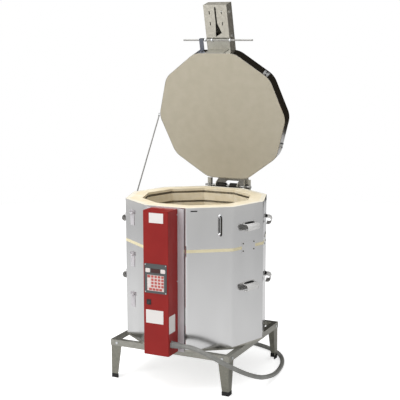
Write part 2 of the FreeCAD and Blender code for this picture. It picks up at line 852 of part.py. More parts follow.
def window_pane(half, low, high):
    """A pane in the bezel's cut-out, with a flange behind it."""
    lap = BEZEL_LAP / 2
    pane = block((-half, half), (CASE_FRONT - BEZEL_THICK + GAP, CASE_FRONT), (low, high))
    flange = block((-half - lap, half + lap), (CASE_FRONT, CASE_FRONT + 1), (low - lap, high + lap))
    return pane.fuse(flange)


def display_window():
    return [window_pane(DISPLAY_HALF, DISPLAY_LOW, DISPLAY_HIGH)]


def keypad():
    """A membrane pad with low raised keys."""
    pad = window_pane(KEYPAD_HALF, KEYPAD_LOW, KEYPAD_HIGH)
    face = CASE_FRONT - BEZEL_THICK + GAP
    column = 2 * KEYPAD_HALF / KEY_COLUMNS
    row = (KEYPAD_HIGH - KEYPAD_LOW) / KEY_ROWS
    keys = []
    for i in range(KEY_COLUMNS):
        for j in range(KEY_ROWS):
            x = -KEYPAD_HALF + column * (i + 0.5)
            z = KEYPAD_LOW + row * (j + 0.5)
            wide = (x - column * KEY_SHARE, x + column * KEY_SHARE)
            keys.append(block(wide, (face - KEY_RISE, face), (z - row * KEY_SHARE, z + row * KEY_SHARE)))
    return [joined([pad] + keys)]


def controller_board():
    """The board is held behind the bezel by four posts."""
    front = CASE_FRONT + BOARD_BACK
    back = front + BOARD_SHEET
    edge = BEZEL_HALF - BEZEL_LAP - 2
    low = BEZEL_LOW + BEZEL_LAP + 2
    high = BEZEL_HIGH - BEZEL_LAP - 2
    board = block((-edge, edge), (front, back), (low, high))
    posts = []
    for z in (low, high - BOARD_POST):
        posts += both_sides(block((edge - BOARD_POST, edge), (CASE_FRONT, front), (z, z + BOARD_POST)))
    chip = block((-30, 10), (back, back + CHIP_DEPTH), (low + 20, low + 60))
    capacitor = block((20, 44), (back, back + CAPACITOR_DEPTH), (low + 70, low + 100))
    return [joined([board, chip, capacitor] + posts)]


def rocker_body():
    reach_x = ROCKER_FRAME_WIDTH / 2 - ROCKER_FRAME_LAP
    reach_z = ROCKER_FRAME_HEIGHT / 2 - ROCKER_FRAME_LAP
    return (ROCKER_X - reach_x, ROCKER_X + reach_x), (ROCKER_Z - reach_z, ROCKER_Z + reach_z)


def rocker_pin(radius, end):
    reach = at(ROCKER_HALF_WIDTH + LOOSE + end, 0, 0)
    pivot = at(ROCKER_X, CASE_FRONT + ROCKER_PIVOT, ROCKER_Z)
    return bar(radius, pivot - reach, pivot + reach)


def rocker_frame():
    face = CASE_FRONT - ROCKER_FRAME_THICK
    half_x = ROCKER_FRAME_WIDTH / 2
    half_z = ROCKER_FRAME_HEIGHT / 2
    rim = block((ROCKER_X - half_x, ROCKER_X + half_x), (face, CASE_FRONT),
                (ROCKER_Z - half_z, ROCKER_Z + half_z))
    body_x, body_z = rocker_body()
    body = block(body_x, (CASE_FRONT, CASE_FRONT + ROCKER_BODY_DEPTH), body_z)
    inside_x = ROCKER_HALF_WIDTH + LOOSE
    inside_z = math.hypot(ROCKER_HALF_HEIGHT, ROCKER_END) + LOOSE
    well = block((ROCKER_X - inside_x, ROCKER_X + inside_x), (face - 1, CASE_FRONT + ROCKER_WELL),
                 (ROCKER_Z - inside_z, ROCKER_Z + inside_z))
    return [cut_by(rim.fuse(body), [well, rocker_pin(ROCKER_PIN + RUNNING, ROCKER_PIN_END + LOOSE)])]


def rocker_switch():
    """A rocker on a round pin, with a shallow valley in its front, tipped to one side."""
    outline = [(-ROCKER_HALF_HEIGHT, -ROCKER_END), (0, -ROCKER_VALLEY), (ROCKER_HALF_HEIGHT, -ROCKER_END),
               (ROCKER_BACK_HALF, ROCKER_BACK), (-ROCKER_BACK_HALF, ROCKER_BACK)]
    start = ROCKER_X - ROCKER_HALF_WIDTH
    pivot = CASE_FRONT + ROCKER_PIVOT
    rocker = prism([at(start, pivot + y, ROCKER_Z + z) for z, y in outline], at(2 * ROCKER_HALF_WIDTH, 0, 0))
    rocker = joined([rocker, rocker_pin(ROCKER_PIN, ROCKER_PIN_END)])
    rocker.rotate(at(0, pivot, ROCKER_Z), at(1, 0, 0), -ROCKER_TILT)
    return [rocker]


def label_plates():
    """Bare plates where the box carries its labels."""
    front = (CASE_FRONT - LABEL_THICK, CASE_FRONT)
    across, up = UPPER_LABEL
    upper = block(across, front, (CASE_HIGH + up[0], CASE_HIGH + up[1]))
    across, up = LOWER_LABEL
    lower = block(across, front, (CASE_LOW + up[0], CASE_LOW + up[1]))
    back, up = SIDE_LABEL
    side = block((CASE_HALF, CASE_HALF + LABEL_THICK), (CASE_FRONT + back[0], CASE_FRONT + back[1]),
                 (CASE_LOW + up[0], CASE_LOW + up[1]))
    return [upper, lower, side]


def blank_badge():
    face = -SHELL_APOTHEM - LAP_SHEET
    badge = block((BADGE_LEFT, BADGE_RIGHT), (face - LABEL_THICK, face), (BADGE_LOW, LAP_HIGH))
    return [on_facet(badge, LAP_FACET)]


def on_plate(size, x, z, start=0.0):
    """A block on the plate behind the cover, from its (half width, depth, half height)."""
    half, depth, rise = size
    front = PLATE_FRONT - start
    return block((x - half, x + half), (front - depth, front), (z - rise, z + rise))


def relays():
    """Power relays in a row, each with four blade terminals."""
    made = []
    for step in range(RELAYS):
        z = FLOOR + RELAY_FIRST + RELAY_PITCH * step
        blades = [on_plate(BLADE, x, z, RELAY_BODY[1]) for x in BLADE_PLACES]
        made.append(joined([on_plate(RELAY_BODY, 0, z)] + blades))
    return made


def transformer():
    z = CASE_LOW + TRANSFORMER_ABOVE
    return [joined([on_plate(size, 0, z) for size in (CORE, COIL, CORE_FOOT)])]


def terminal_block():
    z = CASE_LOW + TERMINALS_ABOVE
    ribs = [on_plate(TERMINAL_RIB, x, z) for x in TERMINAL_RIB_PLACES]
    return [joined([on_plate(TERMINALS, 0, z)] + ribs)]


def cord_gland():
    """A neck through the cover, a nut inside, a hexagon outside and a tapered end for the cord."""
    side = at(CASE_HALF, GLAND_Y, GLAND_Z)
    inside = side - at(CASE_SHEET, 0, 0)
    start = inside - at(GLAND_INSIDE, 0, 0)
    neck = flat_sided(GLAND_SIDES, GLAND_NECK, start, at(GLAND_INSIDE + CASE_SHEET, 0, 0))
    nut = hexagon(2 * GLAND_NECK + GLAND_INSIDE, inside - at(GLAND_NUT, 0, 0), at(GLAND_NUT, 0, 0))
    outer = hexagon(2 * GLAND_NECK + GLAND_INSIDE, side, at(GLAND_COLLAR, 0, 0))
    taper = stacked(GLAND_SIDES, side, [(GLAND_COLLAR, GLAND_NECK + 2), (GLAND_LENGTH, GLAND_NECK)])
    return [joined([neck, nut, outer, taper])]


# Cord
def cord_route():
    """Out of the gland, past the front right leg, back along the stand and round behind it on the floor."""
    return [at(CASE_HALF + GLAND_LENGTH, GLAND_Y, GLAND_Z),
            at(134, GLAND_Y, GLAND_Z), at(196, -461, 279), at(290, -458, 250), at(384, -442, 205),
            at(464, -372, 146), at(492, -250, 92), at(480, -120, 50), at(478, 10, 22),
            at(463, 141, 13), at(435, 265, 12.5), at(380, 377, 12.5), at(298, 456, 12.5),
            at(196, 507, 12.5), at(96, 537, 12.5), at(0, 552, 12.5), at(-80, 555, 12.5)]


def cord_path(points):
    """Straight runs joined by arcs that touch both of their runs."""
    edges = []
    here = points[0]
    for before, corner, after in zip(points, points[1:], points[2:]):
        come = corner - before
        go = after - corner
        reach = CORD_BEND_SHARE * min(come.Length, go.Length)
        turn = come.getAngle(go)
        radius = reach / math.tan(turn / 2)
        come.normalize()
        go.normalize()
        start = corner - come * reach
        end = corner + go * reach
        inward = go - come
        inward.normalize()
        middle = corner + inward * (radius / math.cos(turn / 2) - radius)
        edges.append(Part.LineSegment(here, start).toShape())
        edges.append(Part.Arc(start, middle, end).toShape())
        print("cord radius", round(radius), "run", round((corner - before).Length))
        here = end
    edges.append(Part.LineSegment(here, points[-1]).toShape())
    return Part.Wire(edges)


def supply_cord():
    path = cord_path(cord_route())
    corners = corners_round(CORD_SIDES, CORD_RADIUS, cord_route()[0], path.Edges[0].tangentAt(0))
    ring = Part.makePolygon(corners + corners[:1])
    cord = path.makePipeShell([ring], True, False)
    section = Part.Face(ring).Area
    print("cord length", round(path.Length), "volume ratio", round(cord.Volume / (section * path.Length), 4))
    return [cord]


def cord_plug():
    """The plug lies on the floor at the cord's end, with three flat blades."""
    end = cord_route()[-1]
    along = (cord_route()[-1] - cord_route()[-2])
    half = PLUG_WIDTH / 2
    body = block((-PLUG_LENGTH, 0), (-half, half), (-CORD_RADIUS, PLUG_HEIGHT - CORD_RADIUS))
    tail = [edge for edge in upright_edges(body) if edge.BoundBox.XMin > -1]
    body = body.makeFillet(half / 2, tail)
    blades = [block((-PLUG_LENGTH - BLADE_LENGTH, -PLUG_LENGTH), (y - 7, y + 7), (4, 6)) for y in (-16, 16)]
    blades.append(block((-PLUG_LENGTH - BLADE_LENGTH - 2, -PLUG_LENGTH), (-1, 1), (8, 20)))
    plug = joined([body] + blades)
    plug.rotate(at(0, 0, 0), at(0, 0, 1), math.degrees(math.atan2(along.y, along.x)) + 180)
    plug.translate(end)
    return [plug]


# Hinge
def hinge_base():
    """A wide channel on the back facet; its cheeks stand out below the rim and carry the posts."""
    wall = SHELL_APOTHEM
    high = RIM - BASE_BELOW_RIM
    web = block((-BASE_HALF, BASE_HALF), (wall, wall + BASE_SHEET), (BASE_LOW, high))
    cheek = block((BASE_HALF - BASE_SHEET, BASE_HALF), (wall, HINGE_Y + CHEEK_REACH), (CHEEK_LOW, high))
    return [joined([web] + both_sides(cheek))]


def hinge_posts():
    """Angle irons bolted outside the cheeks, standing up past the rod."""
    front = HINGE_Y - POST_DEPTH / 2
    back = HINGE_Y + POST_DEPTH / 2
    high = (CHEEK_LOW + GAP, RIM + POST_ABOVE)
    side = block((BASE_HALF, BASE_HALF + POST_SHEET), (front, back), high)
    rear = block((BASE_HALF, BASE_HALF + POST_WIDTH), (back - POST_SHEET, back), high)
    hole = bar(HINGE_ROD_RADIUS + RUNNING, at(0, HINGE_Y, HINGE_Z), at(HINGE_ROD_HALF, HINGE_Y, HINGE_Z))
    return both_sides(joined([side, rear]).cut(hole))


def hinge_rod():
    """The rod and the nuts that hold it between the posts."""
    axle = bar(HINGE_ROD_RADIUS, at(-HINGE_ROD_HALF, HINGE_Y, HINGE_Z), at(HINGE_ROD_HALF, HINGE_Y, HINGE_Z))
    nut = hexagon(HINGE_NUT_ACROSS, at(BASE_HALF + POST_SHEET, HINGE_Y, HINGE_Z), at(HINGE_NUT, 0, 0))
    return [joined([axle] + both_sides(nut))]


def hinge_springs():
    """Close-wound springs on the rod, as sleeves with a ridge for each turn and a leg to the base."""
    centre = at(0, HINGE_Y, HINGE_Z)
    pitch = (SPRING_OUTER_END - SPRING_INNER_END) / SPRING_TURNS
    bore = (HINGE_ROD_RADIUS + LOOSE) / math.cos(math.pi / SPRING_SIDES)
    valley = SPRING_RADIUS - SPRING_WIRE / 3
    rings = [(SPRING_INNER_END, valley)]
    for turn in range(SPRING_TURNS):
        start = SPRING_INNER_END + pitch * turn
        rings += [(start + pitch / 2, SPRING_RADIUS), (start + pitch, valley)]
    ends = [(SPRING_INNER_END - 1, bore), (SPRING_OUTER_END + 1, bore)]
    hollow = stacked(SPRING_SIDES, centre, ends)
    leg_x = (SPRING_OUTER_END - pitch, SPRING_OUTER_END)
    leg_y = (HINGE_Y - SPRING_RADIUS, HINGE_Y - SPRING_RADIUS + SPRING_WIRE)
    leg_end = (RIM - SPRING_LEG, RIM - SPRING_LEG + SPRING_WIRE)
    down = block(leg_x, leg_y, (RIM - SPRING_LEG, HINGE_Z))
    foot = block(leg_x, (SHELL_APOTHEM + BASE_SHEET, leg_y[1]), leg_end)
    spring = joined([stacked(SPRING_SIDES, centre, rings), down, foot]).cut(hollow)
    return both_sides(spring)


# Lid
def lid_slab():
    return [opened(many_sided(LINER_APOTHEM, LID_LOW, LID_HIGH, LID_BEND - SKIN))]


def lid_band():
    band = many_sided(SHELL_APOTHEM, LID_LOW, LID_HIGH, LID_BEND)
    return [opened(band.cut(many_sided(LINER_APOTHEM, LID_LOW - 1, LID_HIGH + 1, LID_BEND - SKIN)))]


def arm_side():
    """One side of the arm: a long strip over the lid that drops at the back to an eye round the rod."""
    inner = ARM_HALF - ARM_SHEET
    wide = (inner, ARM_HALF)
    rear = HINGE_Y + ARM_REAR
    front = SHELL_APOTHEM + MOUNT_SHEET + ARM_CHEEK_FRONT
    strip = block(wide, (ARM_TIP, rear), (LID_HIGH, ARM_TOP))
    outline = [(front, LID_HIGH), (rear, LID_HIGH),
               (HINGE_Y + ARM_EYE, HINGE_Z), (HINGE_Y - ARM_EYE, HINGE_Z)]
    cheek = prism([at(inner, y, z) for y, z in outline], at(ARM_SHEET, 0, 0))
    eye = bar(ARM_EYE, at(inner, HINGE_Y, HINGE_Z), at(ARM_HALF, HINGE_Y, HINGE_Z))
    start = at(inner - 1, HINGE_Y, HINGE_Z)
    hole = bar(HINGE_ROD_RADIUS + LOOSE, start, start + at(ARM_SHEET + 2, 0, 0))
    return joined([strip, cheek, eye]).cut(hole)


def arm_cuts():
    """The underside's slit, the forked cut that it runs into and the four slots beside it."""
    through = at(0, 0, ARM_SHEET + 2)
    low = LID_HIGH - 1
    half = SLIT_WIDTH / 2
    slit = block((-half, half), (ARM_TIP + SLIT_START, ARM_TIP + SLIT_END + half), (low, low + ARM_SHEET + 2))
    outline = [(-half, SLIT_END), (half, SLIT_END), (CUT_RIGHT_X, CUT_RIGHT), (CUT_LEFT_X, CUT_LEFT)]
    cuts = [slit, prism([at(x, ARM_TIP + y, low) for x, y in outline], through)]
    for x in (-SLOT_X, SLOT_X):
        for middle in (ARM_TIP + SLOT_NEAR, ARM_TIP + SLOT_FAR):
            long = (middle - SLOT_LENGTH / 2, middle + SLOT_LENGTH / 2)
            cuts.append(block((x - SLOT_WIDTH / 2, x + SLOT_WIDTH / 2), long, (low, low + ARM_SHEET + 2)))
    return cuts


def lift_arm():
    """A folded channel over the lid, closed at its tip and lipped underneath beyond the lid's edge."""
    wide = (-ARM_HALF, ARM_HALF)
    web = block(wide, (ARM_TIP, HINGE_Y + ARM_REAR), (ARM_TOP - ARM_SHEET, ARM_TOP))
    tip = block(wide, (ARM_TIP, ARM_TIP + ARM_SHEET), (LID_HIGH, ARM_TOP))
    lips = cut_by(block(wide, (ARM_TIP, ARM_TIP + LIP_LENGTH), (LID_HIGH, LID_HIGH + ARM_SHEET)), arm_cuts())
    arm = joined([web, tip, lips] + both_sides(arm_side()))
    return [opened(cut_by(arm, [arm_bolt_hole(place) for place in (ARM_BOLT_FIRST, ARM_BOLT_SECOND)]))]


def arm_bolt_hole(place):
    return arm_bolt_shank(place, ARM_BOLT_RADIUS + RUNNING, ARM_HALF + ARM_SHEET)


def arm_bolt_shank(place, radius, reach):
    start = at(-reach, ARM_TIP + place, (LID_HIGH + ARM_TOP) / 2)
    return flat_sided(ARM_BOLT_SIDES, radius, start, at(2 * reach, 0, 0))


def lid_bolts():
    """Two cross bolts through the arm, with a head and a nut."""
    bolts = []
    for place in (ARM_BOLT_FIRST, ARM_BOLT_SECOND):
        y = ARM_TIP + place
        z = (LID_HIGH + ARM_TOP) / 2
        shank = arm_bolt_shank(place, ARM_BOLT_RADIUS, ARM_HALF)
        head = hexagon(ARM_BOLT_ACROSS, at(ARM_HALF, y, z), at(ARM_BOLT_HEAD, 0, 0))
        bolts.append(opened(joined([shank] + both_sides(head))))
    return bolts


def arm_mounts():
    """A bent plate on the lid's back edge and a saddle on its front edge, under the arm."""
    face = -SHELL_APOTHEM
    high = (LID_LOW + MOUNT_SHEET, LID_HIGH)
    rear = block((-REAR_MOUNT_HALF, REAR_MOUNT_HALF), (-face, -face + MOUNT_SHEET), high)
    front = block((-SADDLE_HALF, SADDLE_HALF), (face - MOUNT_SHEET, face), high)
    shelf = block((-ARM_HALF, ARM_HALF), (face - SADDLE_REACH, face), (LID_HIGH - MOUNT_SHEET, LID_HIGH))
    return [opened(rear), opened(joined([front, shelf]))]


def pull_bar():
    return [opened(bar(BAR_RADIUS, at(-BAR_HALF, BAR_Y, BAR_Z), at(BAR_HALF, BAR_Y, BAR_Z)))]


def lid_hook():
    """A flat bar from the lid's front edge that hooks over the cross bar."""
    face = -SHELL_APOTHEM
    wide = at(HOOK_WIDTH, 0, 0)
    start = HOOK_X - HOOK_WIDTH / 2
    under = BAR_Z - BAR_RADIUS
    tip = BAR_Y - BAR_RADIUS - LOOSE
    outline = [(face, under - HOOK_DROP), (face - HOOK_THICK, under - HOOK_DROP),
               (face - HOOK_THICK, under - HOOK_THICK), (tip - HOOK_THICK, under - HOOK_THICK),
               (tip - HOOK_THICK, under + HOOK_TIP), (tip, under + HOOK_TIP), (tip, under), (face, under)]
    return [opened(prism([at(start, y, z) for y, z in outline], wide))]


def band_clamps():
    """Screw clamps that pull the lid's band tight."""
    clamps = []
    face = -SHELL_APOTHEM
    middle = (LID_LOW + LID_HIGH) / 2
    for facet, x in CLAMPS:
        body = block((x - CLAMP_LENGTH / 2, x + CLAMP_LENGTH / 2), (face - CLAMP_THICK, face),
                     (middle - CLAMP_HEIGHT / 2, middle + CLAMP_HEIGHT / 2))
        deep = (face - CLAMP_THICK, face - CLAMP_THICK / 3)
        notch = block((x - CLAMP_THICK / 2, x + CLAMP_THICK / 2), deep, (LID_LOW, LID_HIGH))
        clamps.append(opened(on_facet(body.cut(notch), facet)))
    return clamps


def prop_stud():
    """A headed stud on the corner of the band, for the prop rod's eye."""
    near = PROP_X + PROP_EYE_THICK / 2 + LOOSE
    far = PROP_X - PROP_EYE_THICK / 2 - LOOSE
    collar = hexagon(2 * PROP_EYE - 2, at(near, 0, PROP_Z), at(-LINER_APOTHEM - near, 0, 0))
    collar = collar.cut(many_sided(SHELL_APOTHEM, LID_LOW - 1, LID_HIGH, LID_BEND))
    shank = bar(STUD_RADIUS, at(near, 0, PROP_Z), at(far, 0, PROP_Z))
    head = hexagon(2 * PROP_EYE - 2, at(far, 0, PROP_Z), at(-STUD_HEAD, 0, 0))
    return [opened(joined([collar, shank, head]))]


# Prop rod and its guide
def prop_rod():
    """A rod with a flat eye, from its stud down through the guide."""
    pivot = opened_point(at(PROP_X, 0, PROP_Z))
    guide = at(PROP_X, GUIDE_Y, GUIDE_Z)
    along = guide - pivot
    along.normalize()
    half = at(PROP_EYE_THICK / 2, 0, 0)
    eye = bar(PROP_EYE, pivot - half, pivot + half)
    rod = bar(PROP_RADIUS, pivot + along * (STUD_RADIUS + PROP_RADIUS), pivot + along * PROP_LENGTH)
    flats = [bar(PROP_FLAT, pivot + half * side, pivot + half * 3 * side) for side in (-1, 1)]
    hole = bar(STUD_RADIUS + RUNNING, pivot - half * 3, pivot + half * 3)
    return [eye.fuse(cut_by(rod, flats)).cut(hole)]


def prop_guide():
    """A shelf with a long slot, and a flange on the facet beside the kiln's corner."""
    out = PROP_X - GUIDE_OUT
    low = GUIDE_Z - GUIDE_SHEET / 2
    high = GUIDE_Z + GUIDE_SHEET / 2
    shelf = block((out, -LINER_APOTHEM), (GUIDE_Y - GUIDE_HALF, GUIDE_Y + GUIDE_HALF), (low, high))
    slot_x = PROP_RADIUS + GAP
    slot = block((PROP_X - slot_x, PROP_X + slot_x), (GUIDE_Y - GUIDE_SLOT / 2, GUIDE_Y + GUIDE_SLOT / 2),
                 (low - 1, high + 1))
    side = half_width(SHELL_APOTHEM)
    flange = block((side - GUIDE_FLANGE, side - GUIDE_EDGE), (-SHELL_APOTHEM - GUIDE_SHEET, -SHELL_APOTHEM),
                   (low - GUIDE_FLANGE, high))
    bracket = shelf.cut(slot).fuse(on_facet(flange, PROP_FACET))
    body = many_sided(SHELL_APOTHEM, low - 2 * GUIDE_FLANGE, high + 1, BEND)
    return [bracket.cut(body).removeSplitter()]


NODES = {
    "stand_rails": stand_rails(),
    "stand_legs": stand_legs(),
    "foot_caps": foot_caps(),
    "stand_bolts": stand_bolts(),
    "base_pan": base_pan(),
    "base_board": base_board(),
    "floor_slab": floor_slab(),
    "brick_ring_lower": brick_ring(RING_LOWS[0]),
    "brick_ring_middle": brick_ring(RING_LOWS[1]),
    "brick_ring_upper": brick_ring(RING_LOWS[2]),
    "insulation_lower": insulation(SLAB_LOW, SEAM_LOW),
    "insulation_upper": insulation(SEAM_HIGH, RIM),
    "jacket_lower": jacket(PAN_TOP, SEAM_LOW - SEAM_REVEAL),
    "jacket_upper": jacket(SEAM_HIGH + SEAM_REVEAL, RIM),
    "seam_gasket": seam_gasket(),
    "heating_elements": heating_elements(),
    "element_bushings": element_bushings(),
    "thermocouple": thermocouple(),
    "lap_panel": lap_panel(),
    "grab_handle": grab_handle(),
    "label_plates": label_plates(),
    "blank_badge": blank_badge(),
    "seam_plates": seam_plates(),
    "seam_screws": seam_screws(),
    "side_handles": side_handles(),
    "handle_mounts": handle_mounts(),
    "flap_lugs": flap_lugs(),
    "sight_flap_lower": sight_flap(RING_LOWS[0]),
    "sight_flap_middle": sight_flap(RING_LOWS[1]),
    "sight_flap_upper": sight_flap(RING_LOWS[2]),
    "box_back_plate": box_back_plate(),
    "control_box_cover": control_box_cover(),
    "box_screws": box_screws(),
    "controller_bezel": controller_bezel(),
    "display_window": display_window(),
    "keypad": keypad(),
    "controller_board": controller_board(),
    "rocker_frame": rocker_frame(),
    "rocker_switch": rocker_switch(),
    "relays": relays(),
    "transformer": transformer(),
    "terminal_block": terminal_block(),
    "cord_gland": cord_gland(),
    "supply_cord": supply_cord(),
    "cord_plug": cord_plug(),
    "hinge_base": hinge_base(),
    "hinge_posts": hinge_posts(),
    "hinge_rod": hinge_rod(),
    "hinge_springs": hinge_springs(),
    "lid_slab": lid_slab(),
    "lid_band": lid_band(),
    "band_clamps": band_clamps(),
    "lift_arm": lift_arm(),
    "lid_bolts": lid_bolts(),
    "arm_mounts": arm_mounts(),
    "pull_bar": pull_bar(),
    "lid_hook": lid_hook(),
    "prop_stud": prop_stud(),
    "prop_rod": prop_rod(),
    "prop_guide": prop_guide(),
}

# The cord and its plug lie free, so they don't count in the middle of the object
CORD_NODES = ("supply_cord", "cord_plug")
FIXED = Part.makeCompound([solid for name in NODES if name not in CORD_NODES for solid in NODES[name]])
SHIFT = at(0, -(FIXED.BoundBox.YMin + FIXED.BoundBox.YMax) / 2, 0)

os.makedirs("parts", exist_ok=True)
for name, solids in NODES.items():
    node = Part.makeCompound([solid.copy() for solid in solids])
    node.translate(SHIFT)
    node.exportStep("parts/" + name + ".step")

print("moved by", round(SHIFT.y, 3), "height", round(FIXED.BoundBox.ZMax, 1))
print("half width", round(FIXED.BoundBox.XMax, 2), round(FIXED.BoundBox.XMin, 2))
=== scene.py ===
import json
import math

import bmesh
import bpy
import numpy as np
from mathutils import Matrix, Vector


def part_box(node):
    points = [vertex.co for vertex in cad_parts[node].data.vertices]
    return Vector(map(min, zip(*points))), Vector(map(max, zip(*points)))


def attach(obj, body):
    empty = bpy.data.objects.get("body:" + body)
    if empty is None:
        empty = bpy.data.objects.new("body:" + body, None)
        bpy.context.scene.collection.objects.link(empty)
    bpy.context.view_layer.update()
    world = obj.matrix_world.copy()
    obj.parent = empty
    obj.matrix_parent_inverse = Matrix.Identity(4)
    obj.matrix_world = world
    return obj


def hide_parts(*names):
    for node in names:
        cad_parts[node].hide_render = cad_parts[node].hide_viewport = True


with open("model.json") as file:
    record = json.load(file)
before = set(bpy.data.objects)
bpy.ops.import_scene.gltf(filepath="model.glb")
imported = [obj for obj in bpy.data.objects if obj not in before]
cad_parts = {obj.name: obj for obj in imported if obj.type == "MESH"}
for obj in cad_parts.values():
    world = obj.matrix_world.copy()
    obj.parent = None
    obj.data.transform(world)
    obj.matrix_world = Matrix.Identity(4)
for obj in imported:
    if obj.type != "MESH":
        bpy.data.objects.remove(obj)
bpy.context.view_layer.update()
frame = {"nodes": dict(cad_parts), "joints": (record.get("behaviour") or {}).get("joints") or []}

MM = 0.001

# The kiln's own upright axis and heights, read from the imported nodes
slab_low, slab_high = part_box("floor_slab")
AXIS_Y = (slab_low.y + slab_high.y) / 2
SLAB_APOTHEM = (slab_high.y - slab_low.y) / 2
jacket_low, jacket_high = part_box("jacket_upper")
RIM = jacket_high.z
SHELL_APOTHEM = (jacket_high.y - jacket_low.y) / 2
BRICK = 63.5 * MM
CHAMBER_APOTHEM = SLAB_APOTHEM - BRICK
SIDES = 10
FACET = 2 * math.pi / SIDES
LID_JOINT = next(joint for joint in frame["joints"] if joint["name"] == "lid_hinge")
HINGE = Vector(LID_JOINT["pos_m"])
LID_OPEN = math.radians(LID_JOINT["range_deg"][1])
LID_LOW = RIM + 0.5 * MM
LID_HIGH = LID_LOW + 76 * MM


# Mesh tools

def grid_quads(rows, columns, wrap_rows, wrap_columns):
    """Quads between neighbours of a grid of points; a wrapped direction joins its end to its start."""
    i = np.arange(rows if wrap_rows else rows - 1)
    j = np.arange(columns if wrap_columns else columns - 1)
    i, j = np.meshgrid(i, j, indexing="ij")
    down = (i + 1) % rows
    right = (j + 1) % columns
    corners = [i * columns + j, i * columns + right, down * columns + right, down * columns + j]
    return np.stack(corners, axis=-1).reshape(-1, 4)


def capped_rings(rings, sides):
    """Faces of a stack of closed rings whose first and last ring are filled."""
    faces = grid_quads(rings, sides, False, True).tolist()
    faces.append(list(range(sides)))
    faces.append(list(range((rings - 1) * sides, rings * sides)))
    return faces


def piece(name, parts, material, body, smooth=True):
    """One object from several (points, faces) parts in metres, its faces turned outwards."""
    points = []
    faces = []
    for part_points, part_faces in parts:
        start = sum(len(block) for block in points)
        points.append(np.asarray(part_points, float).reshape(-1, 3))
        faces += [[int(index) + start for index in face] for face in part_faces]
    mesh = bpy.data.meshes.new(name)
    mesh.from_pydata(np.concatenate(points).tolist(), [], faces)
    fresh = bmesh.new()
    fresh.from_mesh(mesh)
    bmesh.ops.recalc_face_normals(fresh, faces=fresh.faces)
    fresh.to_mesh(mesh)
    fresh.free()
    if smooth:
        mesh.shade_smooth()
    thing = bpy.data.objects.new(name, mesh)
    bpy.context.collection.objects.link(thing)
    mesh.materials.append(material)
    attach(thing, body)
    return thing


def sharp_by_angle(thing, degrees):
    """Edges that turn more than the angle stay sharp under smooth shading."""
    fresh = bmesh.new()
    fresh.from_mesh(thing.data)
    for edge in fresh.edges:
        if len(edge.link_faces) == 2:
            edge.smooth = edge.calc_face_angle(0) < math.radians(degrees)
    fresh.to_mesh(thing.data)
    fresh.free()


def tube(path, radius, sides=12, closed=False):
    """A tube along a path. Each ring is path + radius (cos a N + sin a B), where N is the path's side
    direction, found by crossing its tangent with the direction it turns away from least."""
    path = np.asarray(path, float)
    if closed:
        tangent = np.roll(path, -1, axis=0) - np.roll(path, 1, axis=0)
    else:
        tangent = np.gradient(path, axis=0)
    tangent /= np.linalg.norm(tangent, axis=1, keepdims=True)
    spare = np.eye(3)[np.argmin(np.abs(tangent).max(axis=0))]
    side = np.cross(tangent, spare)
    side /= np.linalg.norm(side, axis=1, keepdims=True)
    other = np.cross(tangent, side)
    turn = np.linspace(0, 2 * math.pi, sides, endpoint=False)
    ring = np.cos(turn)[None, :, None] * side[:, None, :] + np.sin(turn)[None, :, None] * other[:, None, :]
    points = path[:, None, :] + np.reshape(radius, (-1, 1, 1)) * ring
    faces = grid_quads(len(path), sides, True, True).tolist() if closed else capped_rings(len(path), sides)
    return points.reshape(-1, 3), faces


def turned(profile, start, direction, sides=24):
    """A turned form: each (distance, radius) of the profile is a ring round the line from start."""
    direction = np.asarray(direction, float) / np.linalg.norm(direction)
    spare = np.eye(3)[np.argmin(np.abs(direction))]
    side = np.cross(direction, spare)
    side /= np.linalg.norm(side)
    other = np.cross(direction, side)
    profile = np.asarray(profile, float)
    turn = np.linspace(0, 2 * math.pi, sides, endpoint=False)
    ring = np.cos(turn)[:, None] * side + np.sin(turn)[:, None] * other
    along = profile[:, 0, None, None]
    radius = profile[:, 1, None, None]
    points = np.asarray(start) + along * direction + radius * ring[None]
    return points.reshape(-1, 3), capped_rings(len(profile), sides)


def pillow(centre, half_width, half_height, thickness, power=5.0, rings=7, sides=40):
    """A low rounded key facing -Y. Ring r of 0 to 1 is the superellipse |x|^p + |z|^p = 1 scaled by the
    half sizes and by sin(r pi/2), at the depth thickness times cos(r pi/2)^0.6; a last ring closes its back."""
    turn = np.linspace(0, 2 * math.pi, sides, endpoint=False)
    c, s = np.cos(turn), np.sin(turn)
    reach = (np.abs(c) ** power + np.abs(s) ** power) ** (-1 / power)
    r = np.linspace(0.08, 1, rings) * math.pi / 2
    scale = np.append(np.sin(r), 1.0)
    depth = np.append(np.maximum(np.cos(r), 0) ** 0.6, -0.4)
    x = centre[0] + half_width * scale[:, None] * (reach * c)[None]
    z = centre[2] + half_height * scale[:, None] * (reach * s)[None]
    y = centre[1] - thickness * depth[:, None] * np.ones(sides)[None]
    points = np.stack([x, y, z], axis=-1)
    return points.reshape(-1, 3), capped_rings(len(scale), sides)


def slab(x, y, z, edge=0.0):
    """A box between (low, high) pairs with its edges along Y cut at 45 degrees: eight points pushed along Y."""
    turn = np.array([[x[0] + edge, z[0]], [x[1] - edge, z[0]], [x[1], z[0] + edge], [x[1], z[1] - edge],
                     [x[1] - edge, z[1]], [x[0] + edge, z[1]], [x[0], z[1] - edge], [x[0], z[0] + edge]])
    front = np.column_stack([turn[:, 0], np.full(8, y[0]), turn[:, 1]])
    back = np.column_stack([turn[:, 0], np.full(8, y[1]), turn[:, 1]])
    return np.concatenate([front, back]), capped_rings(2, 8)


def on_facet(points, facet):
    """Points drawn on the front facet, about the kiln's axis, carried round to a facet and into place."""
    turn = facet * FACET
    c, s = math.cos(turn), math.sin(turn)
    points = np.asarray(points, float)
    x = points[:, 0] * c - points[:, 1] * s
    y = points[:, 0] * s + points[:, 1] * c + AXIS_Y
    return np.column_stack([x, y, points[:, 2]])


